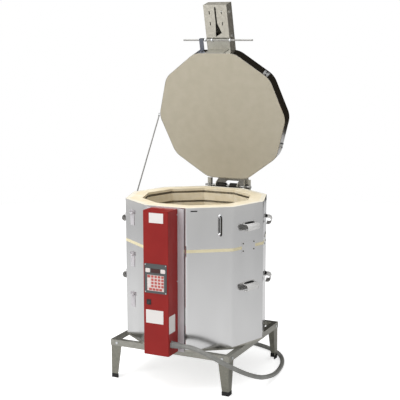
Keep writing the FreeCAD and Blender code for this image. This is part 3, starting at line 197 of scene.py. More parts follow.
def opened(points):
    """Points drawn with the lid closed, about the kiln's axis, put in place and turned back on the hinge."""
    points = np.asarray(points, float) + np.array([0, AXIS_Y, 0]) - np.array(HINGE)
    c, s = math.cos(-LID_OPEN), math.sin(-LID_OPEN)
    y = points[:, 1] * c - points[:, 2] * s
    z = points[:, 1] * s + points[:, 2] * c
    return np.column_stack([points[:, 0], y, z]) + np.array(HINGE)


def bent_outline(apothem, bend, steps=8, margin=2 * MM):
    """The ten-sided outline seen from above: every corner is an arc of radius bend, round a centre that is
    (apothem - bend) / cos 18 degrees from the axis. A point stands on the flat a margin from each arc's end."""
    middle = np.radians(-90 + 36 * (np.arange(SIDES) + 0.5))[:, None]
    lean = np.linspace(-math.pi / SIDES, math.pi / SIDES, steps + 1)[None]
    centre = (apothem - bend) / math.cos(math.pi / SIDES)
    arc = np.stack([centre * np.cos(middle) + bend * np.cos(middle + lean),
                    centre * np.sin(middle) + bend * np.sin(middle + lean)], axis=-1)
    along = np.stack([-np.sin(middle + lean), np.cos(middle + lean)], axis=-1)
    before = arc[:, :1] - margin * along[:, :1]
    after = arc[:, -1:] + margin * along[:, -1:]
    return np.concatenate([before, arc, after], axis=1).reshape(-1, 2)


def skin_ring(apothem, bend, low, high, sheet):
    """A sheet wrapped round the ten sides: its section is the rectangle (outer, low), (outer, high),
    (inner, high), (inner, low), and inner is the outline a sheet's thickness nearer to the axis."""
    outer = bent_outline(apothem, bend)
    inner = bent_outline(apothem - sheet, bend - sheet)
    loops = [(outer, low), (outer, high), (inner, high), (inner, low)]
    points = np.stack([np.column_stack([loop, np.full(len(loop), z)]) for loop, z in loops])
    return points.reshape(-1, 3), grid_quads(4, len(outer), True, True).tolist()


# Material tools

def colour(code):
    """An sRGB hex value as linear red, green, blue and alpha."""
    channels = np.array([int(code[place:place + 2], 16) for place in (0, 2, 4)]) / 255
    linear = np.where(channels <= 0.04045, channels / 12.92, ((channels + 0.055) / 1.055) ** 2.4)
    return (*(float(value) for value in linear), 1.0)


def node(tree, kind, inputs=None, **settings):
    """Adds one shader node. An input is a number, a colour or another node's output, which is linked."""
    made = tree.nodes.new(kind)
    for name, value in settings.items():
        setattr(made, name, value)
    for socket, value in (inputs or {}).items():
        if isinstance(value, bpy.types.NodeSocket):
            tree.links.new(value, made.inputs[socket])
        else:
            made.inputs[socket].default_value = value
    return made


def surface_material(name, base, roughness, metallic=0.0, **plain):
    """A material with its Principled shader; plain holds the shader's other fixed sockets."""
    material = bpy.data.materials.new(name)
    material.use_nodes = True
    tree = material.node_tree
    tree.nodes.clear()
    fixed = {"Base Color": colour(base), "Roughness": roughness, "Metallic": metallic}
    shader = node(tree, "ShaderNodeBsdfPrincipled", fixed)
    for socket, value in plain.items():
        shader.inputs[socket.replace("_", " ")].default_value = value
    node(tree, "ShaderNodeOutputMaterial", {"Surface": shader.outputs[0]})
    material.diffuse_color = colour(base)
    return material, tree, shader


def grain(tree, size_mm, detail=2.0, stretch=(1, 1, 1)):
    """Noise whose grain is size_mm across, pulled out by stretch along each axis."""
    where = node(tree, "ShaderNodeTexCoord").outputs["Object"]
    scale = tuple(1 / (size_mm * MM * pull) for pull in stretch)
    placed = node(tree, "ShaderNodeMapping", {"Vector": where, "Scale": scale}).outputs[0]
    noise = node(tree, "ShaderNodeTexNoise", {"Vector": placed, "Scale": 1.0, "Detail": detail})
    return noise.outputs["Fac"]


def cells(tree, size_mm):
    """Voronoi cells size_mm across."""
    where = node(tree, "ShaderNodeTexCoord").outputs["Object"]
    return node(tree, "ShaderNodeTexVoronoi", {"Vector": where, "Scale": 1 / (size_mm * MM)})


def ramp(tree, factor, stops):
    """A colour ramp through (place, hex) stops."""
    made = node(tree, "ShaderNodeValToRGB", {"Fac": factor})
    made.color_ramp.elements[0].position = stops[0][0]
    made.color_ramp.elements[0].color = colour(stops[0][1])
    made.color_ramp.elements[1].position = stops[-1][0]
    made.color_ramp.elements[1].color = colour(stops[-1][1])
    for place, code in stops[1:-1]:
        made.color_ramp.elements.new(place).color = colour(code)
    return made.outputs["Color"]


def rising(tree, value, start, end):
    """0 where the value is start or less, 1 where it is end or more, and a straight line between them."""
    step = node(tree, "ShaderNodeMapRange", {"Value": value, "From Min": start, "From Max": end})
    return step.outputs["Result"]


def combined(tree, operation, first, second):
    """One step of arithmetic on two values."""
    return node(tree, "ShaderNodeMath", {0: first, 1: second}, operation=operation).outputs[0]


def mixed(tree, factor, first, second):
    """The first colour at factor 0 and the second at 1."""
    blend = node(tree, "ShaderNodeMix", {"Factor": factor, "A": first, "B": second}, data_type="RGBA")
    return blend.outputs["Result"]


def tinted(tree, shader, factor, stops):
    """The base colour runs through the stops with the factor."""
    tree.links.new(ramp(tree, factor, stops), shader.inputs["Base Color"])


def roughened(tree, shader, factor, low, high):
    """The roughness runs from low to high with the factor."""
    spread = node(tree, "ShaderNodeMapRange", {"Value": factor, "To Min": low, "To Max": high})
    tree.links.new(spread.outputs["Result"], shader.inputs["Roughness"])


def bumped(tree, shader, height, distance_mm, strength=1.0):
    """The height moves the surface's normal, as a relief that is distance_mm deep."""
    relief = {"Height": height, "Strength": strength, "Distance": distance_mm * MM}
    tree.links.new(node(tree, "ShaderNodeBump", relief).outputs["Normal"], shader.inputs["Normal"])


# Materials

def stainless_skin():
    """430 stainless sheet in mill finish: a soft mirror with upright rolling lines and faint handling haze."""
    material, tree, shader = surface_material("stainless_430_sheet_rolled", "CFCFCF", 0.16, 1.0)
    lines = grain(tree, 3, 3.0, (1, 1, 160))
    haze = grain(tree, 220, 3.0, (1, 1, 3))
    # rolling lines are 0.05 mm apart on the real sheet, drawn 3 mm apart so that they show
    roughened(tree, shader, lines, 0.13, 0.22)
    tinted(tree, shader, haze, [(0.3, "CACACA"), (0.7, "D5D5D5")])
    bumped(tree, shader, lines, 0.01, 0.2)
    return material


def polished_band():
    """Stainless band with a bright rolled finish: it mirrors the room, with short scratches along it."""
    material, tree, shader = surface_material("stainless_430_bright_band", "BDBBB8", 0.08, 1.0)
    roughened(tree, shader, grain(tree, 4, 3.0), 0.05, 0.14)
    return material


def galvanised(name, dark, light):
    """Hot-dip galvanised steel: satin grey with flat spangles about 9 mm across, some lighter, some darker."""
    material, tree, shader = surface_material(name, light, 0.42, 0.85)
    spangle = cells(tree, 9)
    shade = node(tree, "ShaderNodeSeparateColor", {"Color": spangle.outputs["Color"]}).outputs[0]
    tinted(tree, shader, shade, [(0.0, dark), (1.0, light)])
    roughened(tree, shader, shade, 0.38, 0.48)
    bumped(tree, shader, grain(tree, 2.5), 0.02, 0.3)
    return material


def dull_zinc(name, dark, light):
    """Electro-zinc plate with a matt passivated face: pale grey, and hardly a mirror."""
    material, tree, shader = surface_material(name, light, 0.62, 0.15)
    tinted(tree, shader, grain(tree, 60, 3.0), [(0.3, dark), (0.7, light)])
    roughened(tree, shader, grain(tree, 3), 0.56, 0.68)
    return material


def drawn_rod():
    """Cold-drawn steel bar: bright grey with fine lines along it."""
    material, tree, shader = surface_material("cold_drawn_steel", "8E8D8A", 0.32, 1.0)
    roughened(tree, shader, grain(tree, 2, 2.0), 0.28, 0.38)
    return material


def blackened():
    """Blackened spring steel: an oxide skin, near black, with a dull sheen."""
    # The grab handle's polished bar also takes this near-black colour, as a painted dark reflection.
    material, tree, shader = surface_material("blackened_steel_and_painted_dark_reflection", "2C2B29", 0.42, 0.6)
    tinted(tree, shader, grain(tree, 6), [(0.35, "24221F"), (0.7, "3B3833")])
    bumped(tree, shader, grain(tree, 0.8), 0.03, 0.4)
    return material


def zinc_plate(name, base):
    """Zinc plate on small parts: bright with a cool tint when new, dull and brown-grey once it has been hot."""
    material, tree, shader = surface_material(name, base, 0.3, 0.8)
    roughened(tree, shader, grain(tree, 1.0), 0.22, 0.4)
    return material


def firebrick(name, low, middle, high, joints):
    """Soft insulating firebrick: cream, dry, with pores of 0.5 to 2 mm. With joints, a ring's mitred joints
    show as darker lines at the ten corners."""
    material, tree, shader = surface_material(name, middle, 0.92)
    patches = ramp(tree, grain(tree, 45, 4.0), [(0.3, low), (0.5, middle), (0.72, high)])
    pores = cells(tree, 2.4).outputs["Distance"]
    # The pores are painted a darker brown, as painted shade inside them.
    plain = mixed(tree, rising(tree, pores, 0.0, 0.22), colour("A8977A"), patches)
    if joints:
        where = node(tree, "ShaderNodeTexCoord").outputs["Object"]
        away = node(tree, "ShaderNodeSeparateXYZ", {"Vector": where})
        y = combined(tree, "SUBTRACT", away.outputs["Y"], AXIS_Y)
        turn = combined(tree, "ARCTAN2", y, away.outputs["X"])
        near = combined(tree, "PINGPONG", combined(tree, "DIVIDE", turn, FACET), 0.5)
        plain = mixed(tree, rising(tree, near, 0.001, 0.004), colour("C3B394"), plain)
    tree.links.new(plain, shader.inputs["Base Color"])
    bumped(tree, shader, pores, 0.5, 0.5)
    return material


def ceramic_fibre():
    """Ceramic fibre strip: pale yellow and dry, with short loose strands."""
    material, tree, shader = surface_material("ceramic_fibre_strip", "E6DCB8", 0.95)
    strands = grain(tree, 1.5, 4.0, (1, 1, 0.4))
    tinted(tree, shader, strands, [(0.3, "D8CC9F"), (0.7, "EFE7CB")])
    bumped(tree, shader, strands, 0.3, 0.6)
    return material


def powder_coat():
    """Red polyester powder coat on steel: a hard gloss over faint orange peel about 2 mm across."""
    material, tree, shader = surface_material("red_powder_coat", "8E1510", 0.36, Specular_IOR_Level=0.3)
    tinted(tree, shader, grain(tree, 120, 3.0), [(0.3, "8A120E"), (0.7, "931813")])
    bumped(tree, shader, grain(tree, 2.2), 0.04, 0.35)
    return material


def moulded(name, base, roughness, grain_mm=0.7):
    """Moulded plastic with a fine spark texture."""
    material, tree, shader = surface_material(name, base, roughness)
    roughened(tree, shader, grain(tree, grain_mm), roughness - 0.06, roughness + 0.08)
    bumped(tree, shader, grain(tree, grain_mm), 0.03, 0.5)
    return material


def printed_film(name, base, roughness):
    """Polyester film with a satin face: even colour with slight waviness where it is glued down."""
    material, tree, shader = surface_material(name, base, roughness)
    bumped(tree, shader, grain(tree, 14), 0.05, 0.3)
    roughened(tree, shader, grain(tree, 25), roughness - 0.05, roughness + 0.1)
    return material


def jacket_rubber():
    """Grey vinyl cord jacket: semi-matt, with faint lengthwise drag marks and dust."""
    material, tree, shader = surface_material("grey_vinyl_cord_jacket", "82827E", 0.36)
    tinted(tree, shader, grain(tree, 30, 4.0), [(0.3, "7B7B77"), (0.75, "8C8C88")])
    bumped(tree, shader, grain(tree, 1.4), 0.05, 0.4)
    return material


def porcelain():
    """Glazed electrical porcelain: white with a wet gloss."""
    material, tree, shader = surface_material("glazed_porcelain", "E8E4DA", 0.16, Coat_Weight=0.3)
    tinted(tree, shader, grain(tree, 20), [(0.3, "E0DBCF"), (0.7, "F0ECE3")])
    return material


def oxidised_wire():
    """Iron-chrome-aluminium resistance wire after firing: a dull brown-grey oxide."""
    material, tree, shader = surface_material("oxidised_resistance_wire", "6B6158", 0.6, 0.5)
    tinted(tree, shader, grain(tree, 8), [(0.3, "57493D"), (0.7, "81776C")])
    return material


def circuit_board():
    """Glass-epoxy board under green solder mask."""
    material, tree, shader = surface_material("green_solder_mask", "1F5A36", 0.3)
    tinted(tree, shader, cells(tree, 3).outputs["Distance"], [(0.2, "17472A"), (0.6, "27683F")])
    return material


STEEL = stainless_skin()
BAND = polished_band()
ZINC = galvanised("galvanised_steel", "A09E95", "AEACA3")
ARM = galvanised("galvanised_lift_arm", "B3AFA4", "C0BCB1")
RAIL = galvanised("galvanised_angle_iron", "94938B", "A09F97")
LEG = galvanised("galvanised_leg_sheet", "7F7E75", "8B8A80")
PLATE = dull_zinc("passivated_zinc_plate", "C5C2C5", "CECBCE")
# The handles' rolled stainless strips take a pale matt grey, a painted bright reflection of the room on their
# rolled face.
STRIP_PAINTED_BRIGHT = dull_zinc("handle_strip_painted_reflection", "DEDDDB", "E6E5E3")
ROD = drawn_rod()
BLACK_STEEL_AND_DARK_REFLECTION = blackened()
SCREW = zinc_plate("bright_zinc_plate", "D4D6D8")
DARK_SCREW = zinc_plate("weathered_zinc_plate", "77756F")
HOOK = zinc_plate("blued_steel_hook", "6A6D75")
BRICK_RING = firebrick("insulating_firebrick", "DDD0B2", "E2D6BB", "E9DFC9", True)
# The lid's brick is the ring's firebrick painted darker and greyer: painted shade on its face, which leans down
# and forward with the lid open.
BRICK_LID_PAINTED_SHADE = firebrick("firebrick_lid_painted_shade", "B3AC9A", "B6AF9D", "B9B2A1", False)
BOARD = firebrick("calcium_silicate_board", "D9D2BF", "E2DCCB", "EAE5D8", False)
FIBRE = ceramic_fibre()
RED = powder_coat()
BLACK_PLASTIC = moulded("black_nylon", "1B1B1C", 0.5)
BEZEL = moulded("charcoal_abs", "4A4E4F", 0.45)
RUBBER = moulded("black_rubber_moulded", "1A1A1A", 0.7, 1.2)
CORD = jacket_rubber()
GLAND = moulded("grey_nylon_gland", "8B8B89", 0.45)
SLEEVE = moulded("grey_rubber_sleeve", "7A7A78", 0.5, 1.2)
DISPLAY = printed_film("dark_red_display_filter", "3A0D0C", 0.12)
KEYPAD = printed_film("pale_keypad_film", "D9C8C4", 0.4)
KEY_RED = printed_film("coral_key_film", "B8524C", 0.4)
KEY_PALE = printed_film("cream_key_film", "E4DAD6", 0.4)
LABEL = printed_film("white_label_film", "E3DFDC", 0.35)
BADGE = printed_film("black_badge_film", "161616", 0.25)
PORCELAIN = porcelain()
WIRE = oxidised_wire()
PCB = circuit_board()

FINISHES = {
    STEEL: ("jacket_lower", "jacket_upper", "lap_panel", "seam_plates"),
    ZINC: ("base_pan", "hinge_base", "hinge_posts", "arm_mounts", "prop_guide"),
    ARM: ("lift_arm",),
    RAIL: ("stand_rails",),
    LEG: ("stand_legs",),
    HOOK: ("lid_hook",),
    PLATE: ("box_back_plate", "flap_lugs", "sight_flap_lower", "sight_flap_middle", "sight_flap_upper"),
    ROD: ("hinge_rod", "pull_bar", "prop_rod"),
    BLACK_STEEL_AND_DARK_REFLECTION: ("transformer",),
    SCREW: ("stand_bolts", "box_screws", "band_clamps", "lid_bolts", "prop_stud"),
    DARK_SCREW: ("seam_screws",),
    BRICK_RING: ("floor_slab", "brick_ring_lower", "brick_ring_middle", "brick_ring_upper"),
    BOARD: ("base_board", "insulation_lower", "insulation_upper"),
    RED: ("control_box_cover",),
    BLACK_PLASTIC: ("rocker_frame", "rocker_switch", "relays"),
    BEZEL: ("controller_bezel",),
    RUBBER: ("cord_plug",),
    GLAND: ("cord_gland",),
    DISPLAY: ("display_window",),
    LABEL: ("label_plates",),
    BADGE: ("blank_badge",),
    PORCELAIN: ("element_bushings", "thermocouple", "terminal_block"),
    PCB: ("controller_board",),
}


def dress_nodes():
    """Gives every CAD node that is shown its finish."""
    for material, names in FINISHES.items():
        for name in names:
            mesh = frame["nodes"][name].data
            mesh.materials.clear()
            mesh.materials.append(material)


# Cord

CORD_DIAMETER = 25 * MM
# the route of the part's source, in millimetres from the kiln's axis
CORD_ROUTE_MM = [(92, -468, 282), (134, -468, 282), (196, -461, 279), (290, -458, 250), (384, -442, 205),
                 (464, -372, 146), (492, -250, 92), (480, -120, 50), (478, 10, 22), (463, 141, 13),
                 (435, 265, 12.5), (380, 377, 12.5), (298, 456, 12.5), (196, 507, 12.5), (96, 537, 12.5),
                 (0, 552, 12.5), (-80, 555, 12.5)]


def cord_point(place):
    """A point of the route in the shared frame, in metres."""
    x, y, z = CORD_ROUTE_MM[place]
    return x * MM, y * MM + AXIS_Y, z * MM


def supply_cord():
    """The cord's smooth line through the route, as a bevelled NURBS curve."""
    curve = bpy.data.curves.new("supply_cord", "CURVE")
    curve.dimensions = "3D"
    curve.bevel_depth = CORD_DIAMETER / 2
    curve.bevel_resolution = 6
    curve.resolution_u = 24
    curve.use_fill_caps = True
    line = curve.splines.new("NURBS")
    line.points.add(len(CORD_ROUTE_MM) - 1)
    for place, point in enumerate(line.points):
        point.co = (*cord_point(place), 1)
    line.order_u = 3
    line.use_endpoint_u = True
    thing = bpy.data.objects.new("supply_cord_line", curve)
    bpy.context.collection.objects.link(thing)
    curve.materials.append(CORD)
    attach(thing, "base")
    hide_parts("supply_cord")
    return thing


# Pieces

GROOVE_FROM_TOP = 20 * MM
GROOVE_PITCH = 57 * MM
GROOVES = 4
COIL_RADIUS = 5.2 * MM
COIL_WIRE = 1.1 * MM
COIL_APOTHEM = CHAMBER_APOTHEM + 11.6 * MM
COIL_PITCH = 9 * MM
COIL_SAG = 1.6 * MM


def element_coils(ring):
    """Four close coils in a ring's grooves. Point t of a loop is on a ten-sided path of radius
    apothem / cos(angle from the facet's middle), plus a small circle that turns once each pitch."""
    low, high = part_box("brick_ring_" + ring)
    turns = int(2 * SIDES * COIL_APOTHEM * math.tan(math.pi / SIDES) / COIL_PITCH)
    t = np.linspace(0, 2 * math.pi, turns * 8, endpoint=False)
    lean = (t + math.pi / 2 + FACET / 2) % FACET - FACET / 2
    small = turns * t
    reach = COIL_APOTHEM / np.cos(lean) + COIL_RADIUS * np.cos(small)
    loops = []
    for step in range(GROOVES):
        height = high.z - GROOVE_FROM_TOP - GROOVE_PITCH * step - COIL_SAG
        rise = height + COIL_RADIUS * np.sin(small)
        path = np.column_stack([reach * np.cos(t), reach * np.sin(t) + AXIS_Y, rise])
        loops.append(tube(path, COIL_WIRE, 4, closed=True))
    return piece("element_coils_" + ring, loops, WIRE, "base")


BAND_BEND = 110 * MM
BAND_SHEET = 0.8 * MM
STUD_HEIGHT = 1022.9 * MM


def lid_band():
    """The polished band round the lid, one sheet bent at the ten corners."""
    points, faces = skin_ring(SHELL_APOTHEM, BAND_BEND, LID_LOW, LID_HIGH, BAND_SHEET)
    band = piece("lid_band_wrap", [(opened(points), faces)], BAND, "lid")
    sharp_by_angle(band, 40)
    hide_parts("lid_band")
    return band


def lid_slab():
    """The lid's brick inside the band: the bent outline pushed up from the lid's underside to its top, with
    both rims cut back by 2 mm."""
    rim = 2 * MM
    apothem = SHELL_APOTHEM - BAND_SHEET
    bend = BAND_BEND - BAND_SHEET
    levels = [(rim, LID_LOW), (0, LID_LOW + rim), (0, LID_HIGH - rim), (rim, LID_HIGH)]
    loops = [(bent_outline(apothem - cut, bend - cut), z) for cut, z in levels]
    count = len(loops[0][0])
    points = np.concatenate([np.column_stack([loop, np.full(count, z)]) for loop, z in loops])
    # The brick takes the darker copy of the firebrick, which is painted shade.
    brick = piece("lid_slab_brick", [(opened(points), capped_rings(4, count))], BRICK_LID_PAINTED_SHADE, "lid")
    sharp_by_angle(brick, 40)
    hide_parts("lid_slab")
    return brick


def stud_spacer():
    """A turned spacer between the band's round corner and the prop rod's stud."""
    corner = (SHELL_APOTHEM - BAND_BEND) / math.cos(math.pi / SIDES) + BAND_BEND
    profile = [(-1 * MM, 8 * MM), (3.2 * MM, 8 * MM), (4 * MM, 7.2 * MM)]
    points, faces = turned(profile, (-corner, 0, STUD_HEIGHT), (-1, 0, 0))
    spacer = piece("prop_stud_spacer", [(opened(points), faces)], SCREW, "lid")
    sharp_by_angle(spacer, 40)
    return spacer


SEAM_LOW = 769 * MM
SEAM_HIGH = 786 * MM
SEAM_BEND = 22 * MM


def seam_gasket():
    """The cream strip in the joint of the two jackets, squeezed out and lying 0.4 mm proud of the sheet."""
    points, faces = skin_ring(SHELL_APOTHEM + 0.4 * MM, SEAM_BEND, SEAM_LOW, SEAM_HIGH, 2 * MM)
    points = points + np.array([0, AXIS_Y, 0])
    strip = piece("seam_gasket_strip", [(points, faces)], FIBRE, "base")
    sharp_by_angle(strip, 40)
    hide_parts("seam_gasket")
    return strip


SPRING_RADIUS = 15 * MM
SPRING_WIRE = 3.8 * MM
SPRING_TURNS = 7
SPRING_INNER_END = 10 * MM
SPRING_OUTER_END = 64 * MM
SPRING_LEG = 52 * MM


def hinge_spring(side):
    """A torsion spring: x runs from the inner to the outer end while the angle makes seven turns, and then
    the wire leaves along a straight leg down behind the rod."""
    t = np.linspace(0, 1, SPRING_TURNS * 28)
    turn = 2 * math.pi * SPRING_TURNS * t + math.pi
    x = SPRING_INNER_END + (SPRING_OUTER_END - SPRING_INNER_END) * t
    coil = np.column_stack([x, SPRING_RADIUS * np.cos(turn), SPRING_RADIUS * np.sin(turn)])
    s = np.linspace(0.04, 1, 16)
    leg = coil[-1] + np.column_stack([0 * s, 0 * s, -SPRING_LEG * s])
    path = np.concatenate([coil, leg])
    path[:, 0] *= side
    return tube(path + np.array(HINGE), SPRING_WIRE, 12)


def hinge_springs():
    """The pair of springs, one on each half of the rod."""
    pair = [hinge_spring(-1), hinge_spring(1)]
    return piece("hinge_spring_coils", pair, BLACK_STEEL_AND_DARK_REFLECTION, "base")


GRAB_X = 55 * MM
GRAB_LOW = 862 * MM
GRAB_HIGH = 962 * MM
GRAB_REACH = 30 * MM
GRAB_BEND = 11 * MM
GRAB_RADIUS = 4.6 * MM
PANEL = SHELL_APOTHEM + 0.8 * MM


def grab_handle():
    """A round bar out of the panel, up and back in: two quarter circles of the bend radius join its three
    runs. Each end stands on a small turned foot."""
    quarter = np.linspace(0, math.pi / 2, 9)
    out = GRAB_REACH - GRAB_BEND
    c, s = GRAB_BEND * np.cos(quarter), GRAB_BEND * np.sin(quarter)
    lower = np.column_stack([out + s, GRAB_LOW + GRAB_BEND - c])
    upper = np.column_stack([out + c, GRAB_HIGH - GRAB_BEND + s])
    outline = np.concatenate([[[0.0, GRAB_LOW]], lower, upper, [[0.0, GRAB_HIGH]]])
    path = np.column_stack([np.full(len(outline), GRAB_X), -PANEL - outline[:, 0], outline[:, 1]])
    foot = [(0, 11.5 * MM), (2 * MM, 11.5 * MM), (4 * MM, 9 * MM), (8 * MM, 5.8 * MM)]
    parts = [tube(path, GRAB_RADIUS, 14)]
    for height in (GRAB_LOW, GRAB_HIGH):
        parts.append(turned(foot, (GRAB_X, -PANEL, height), (0, -1, 0)))
    parts = [(on_facet(points, 1), faces) for points, faces in parts]
    # The polished bar takes the blackened finish, a painted dark reflection along it.
    handle = piece("grab_handle_bar", parts[:1], BLACK_STEEL_AND_DARK_REFLECTION, "base")
    feet = piece("grab_handle_feet", parts[1:], SCREW, "base")
    sharp_by_angle(feet, 40)
    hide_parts("grab_handle")
    return handle, feet


HANDLE_LEFT = -46 * MM
HANDLE_RIGHT = 52 * MM
HANDLE_ROLL = 19.5 * MM
HANDLE_SHEET = 1.5 * MM
HANDLE_FLANGE = 11 * MM
HANDLE_BEND = 3 * MM
HANDLE_HEIGHTS = (555 * MM, 887 * MM)
HANDLE_FACETS = (2, 3, 7, 8)


def thick_line(middle, sheet):
    """The closed outline of a strip seen from its end: the middle line moved half a sheet's thickness to each
    side along its normal, with a half circle of five points round each end."""
    tangent = np.gradient(middle, axis=0)
    tangent /= np.linalg.norm(tangent, axis=1, keepdims=True)
    normal = np.column_stack([-tangent[:, 1], tangent[:, 0]])
    half = sheet / 2
    cap = np.linspace(0, math.pi, 7)[1:-1, None]
    far = middle[-1] + half * (np.cos(cap) * normal[-1] + np.sin(cap) * tangent[-1])
    near = middle[0] - half * (np.cos(cap) * normal[0] + np.sin(cap) * tangent[0])
    return np.concatenate([middle + half * normal, far, (middle - half * normal)[::-1], near])


def swept_across(outline, left, right, height):
    """An outline of (out from the wall, up) pushed from left to right along the front facet. A last ring at
    each end is drawn in a little, so that the end's edge is round, and quads between the two sides of the
    outline close it."""
    across = np.array([left, left + 0.3 * MM, right - 0.3 * MM, right])
    middle = outline.mean(axis=0)
    shrink = np.array([0.985, 1, 1, 0.985])[:, None, None]
    ring = middle + (outline - middle)[None] * shrink
    points = np.concatenate([np.broadcast_to(across[:, None, None], ring.shape[:2] + (1,)),
                             -SHELL_APOTHEM - ring[:, :, :1], height + ring[:, :, 1:]], axis=2)
    count = len(outline)
    faces = grid_quads(4, count, False, True).tolist()
    for start in (0, 3 * count):
        last = start + count - 1
        for step in range(count // 2 - 1):
            faces.append([start + step, start + step + 1, last - step - 1, last - step])
    return points.reshape(-1, 3), faces


def side_handles():
    """Bright strips: flat on the wall, bent out at a small radius, level to the roll's middle, and then round
    a circle of the roll's radius for 210 degrees, which leaves the edge turned in under the hand."""
    wall = HANDLE_SHEET / 2
    radius = HANDLE_ROLL - wall
    flange = np.column_stack([np.full(4, wall), np.linspace(radius + HANDLE_FLANGE, radius + HANDLE_BEND, 4)])
    turn = np.linspace(math.pi, 1.5 * math.pi, 7)[1:]
    bend = np.column_stack([wall + HANDLE_BEND * (1 + np.cos(turn)), radius + HANDLE_BEND * (1 + np.sin(turn))])
    turn = np.linspace(math.pi / 2, -2 * math.pi / 3, 44)
    roll = np.column_stack([HANDLE_ROLL + radius * np.cos(turn), radius * np.sin(turn)])
    outline = thick_line(np.concatenate([flange, bend, roll]), HANDLE_SHEET)
    parts = []
    for height in HANDLE_HEIGHTS:
        points, faces = swept_across(outline, HANDLE_LEFT, HANDLE_RIGHT, height)
        parts += [(on_facet(points, facet), faces) for facet in HANDLE_FACETS]
    handles = piece("side_handle_strips", parts, STRIP_PAINTED_BRIGHT, "base")
    sharp_by_angle(handles, 45)
    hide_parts("side_handles")
    return handles


PAD_MIDDLE = 4 * MM
PAD_HALF = 39 * MM
PAD_OUT = 13 * MM
PAD_UP = 8 * MM
PAD_RINGS = 25


def handle_mounts():
    """Black pads in the nook over each strip. Seen from the end the outline is the superellipse quarter
    (out / 13)^1.6 + (up / 8)^1.6 = 1 in millimetres, and it thins to half near the two ends."""
    t = np.linspace(0, math.pi / 2, 13)
    base = np.array([HANDLE_SHEET, HANDLE_ROLL])
    out = PAD_OUT * np.cos(t) ** (2 / 1.6) + base[0]
    up = PAD_UP * np.sin(t) ** (2 / 1.6) + base[1]
    outline = np.column_stack([np.append(out, base[0]), np.append(up, base[1])])
    across = np.linspace(-1, 1, PAD_RINGS)
    size = 0.45 + 0.55 * np.maximum(1 - np.abs(across) ** 3, 0) ** 0.5
    ring = base + (outline - base)[None] * size[:, None, None]
    count = len(outline)
    parts = []
    for height in HANDLE_HEIGHTS:
        x = np.broadcast_to((PAD_MIDDLE + PAD_HALF * across)[:, None, None], ring.shape[:2] + (1,))
        points = np.concatenate([x, -SHELL_APOTHEM - ring[:, :, :1], height + ring[:, :, 1:]], axis=2)
        faces = capped_rings(PAD_RINGS, count)
        parts += [(on_facet(points.reshape(-1, 3), facet), faces) for facet in HANDLE_FACETS]
    mounts = piece("handle_mount_pads", parts, BLACK_PLASTIC, "base")
    sharp_by_angle(mounts, 50)
    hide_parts("handle_mounts")
    return mounts


CAP_HEIGHT = 24 * MM
CAP_REACH = 42 * MM
CAP_THICK = 6 * MM
STAND_CORNER = 362.5 * MM


def foot_caps():
    """Black push-on caps, an L seen from above with its outer corner cut at 45 degrees. The first and the last
    ring are drawn in by 0.8 mm."""
    reach, thick, cut = CAP_REACH, CAP_THICK, 2 * MM
    plan = np.array([(cut, 0), (reach, 0), (reach, thick), (thick + cut, thick), (thick, thick + cut),
                     (thick, reach), (0, reach), (0, cut)])
    inset = 0.8 * MM
    tip, inner = reach - inset, thick - inset
    drawn = np.array([(cut, inset), (tip, inset), (tip, inner), (thick, inner),
                      (inner, thick), (inner, tip), (inset, tip), (inset, cut)])
    heights = (0, 1 * MM, CAP_HEIGHT - 1 * MM, CAP_HEIGHT)
    levels = zip((drawn, plan, plan, drawn), heights)
    points = np.concatenate([np.column_stack([loop - STAND_CORNER, np.full(8, z)]) for loop, z in levels])
    faces = grid_quads(4, 8, False, True).tolist()
    for start in (0, 24):
        faces += [[start, start + 1, start + 2, start + 3], [start, start + 3, start + 4, start + 7],
                  [start + 4, start + 5, start + 6, start + 7]]
    parts = []
    for step in range(4):
        c, s = round(math.cos(step * math.pi / 2)), round(math.sin(step * math.pi / 2))
        x = points[:, 0] * c - points[:, 1] * s
        y = points[:, 0] * s + points[:, 1] * c + AXIS_Y
        parts.append((np.column_stack([x, y, points[:, 2]]), faces))
    caps = piece("foot_cap_shoes", parts, RUBBER, "base")
    sharp_by_angle(caps, 40)
    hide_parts("foot_caps")
    return caps


def bar_collars():
    """Turned collars on the pull bar: one against each side of the arm and one left of its middle."""
    low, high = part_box("pull_bar")
    arm_low, arm_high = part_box("lift_arm")
    centre_y = (low.y + high.y) / 2
    centre_z = (low.z + high.z) / 2
    profile = [(0, 5 * MM), (0.6 * MM, 8.4 * MM), (1.6 * MM, 9 * MM), (9 * MM, 9 * MM), (10 * MM, 8.4 * MM),
               (10.4 * MM, 5 * MM)]
    parts = [turned(profile, (arm_high.x, centre_y, centre_z), (1, 0, 0)),
             turned(profile, (arm_low.x, centre_y, centre_z), (-1, 0, 0)),
             turned(profile, (-30 * MM, centre_y, centre_z), (-1, 0, 0))]
    collars = piece("pull_bar_collars", parts, SCREW, "lid")
    sharp_by_angle(collars, 40)
    return collars


KEY_COLUMNS = 5
KEY_ROWS = 5


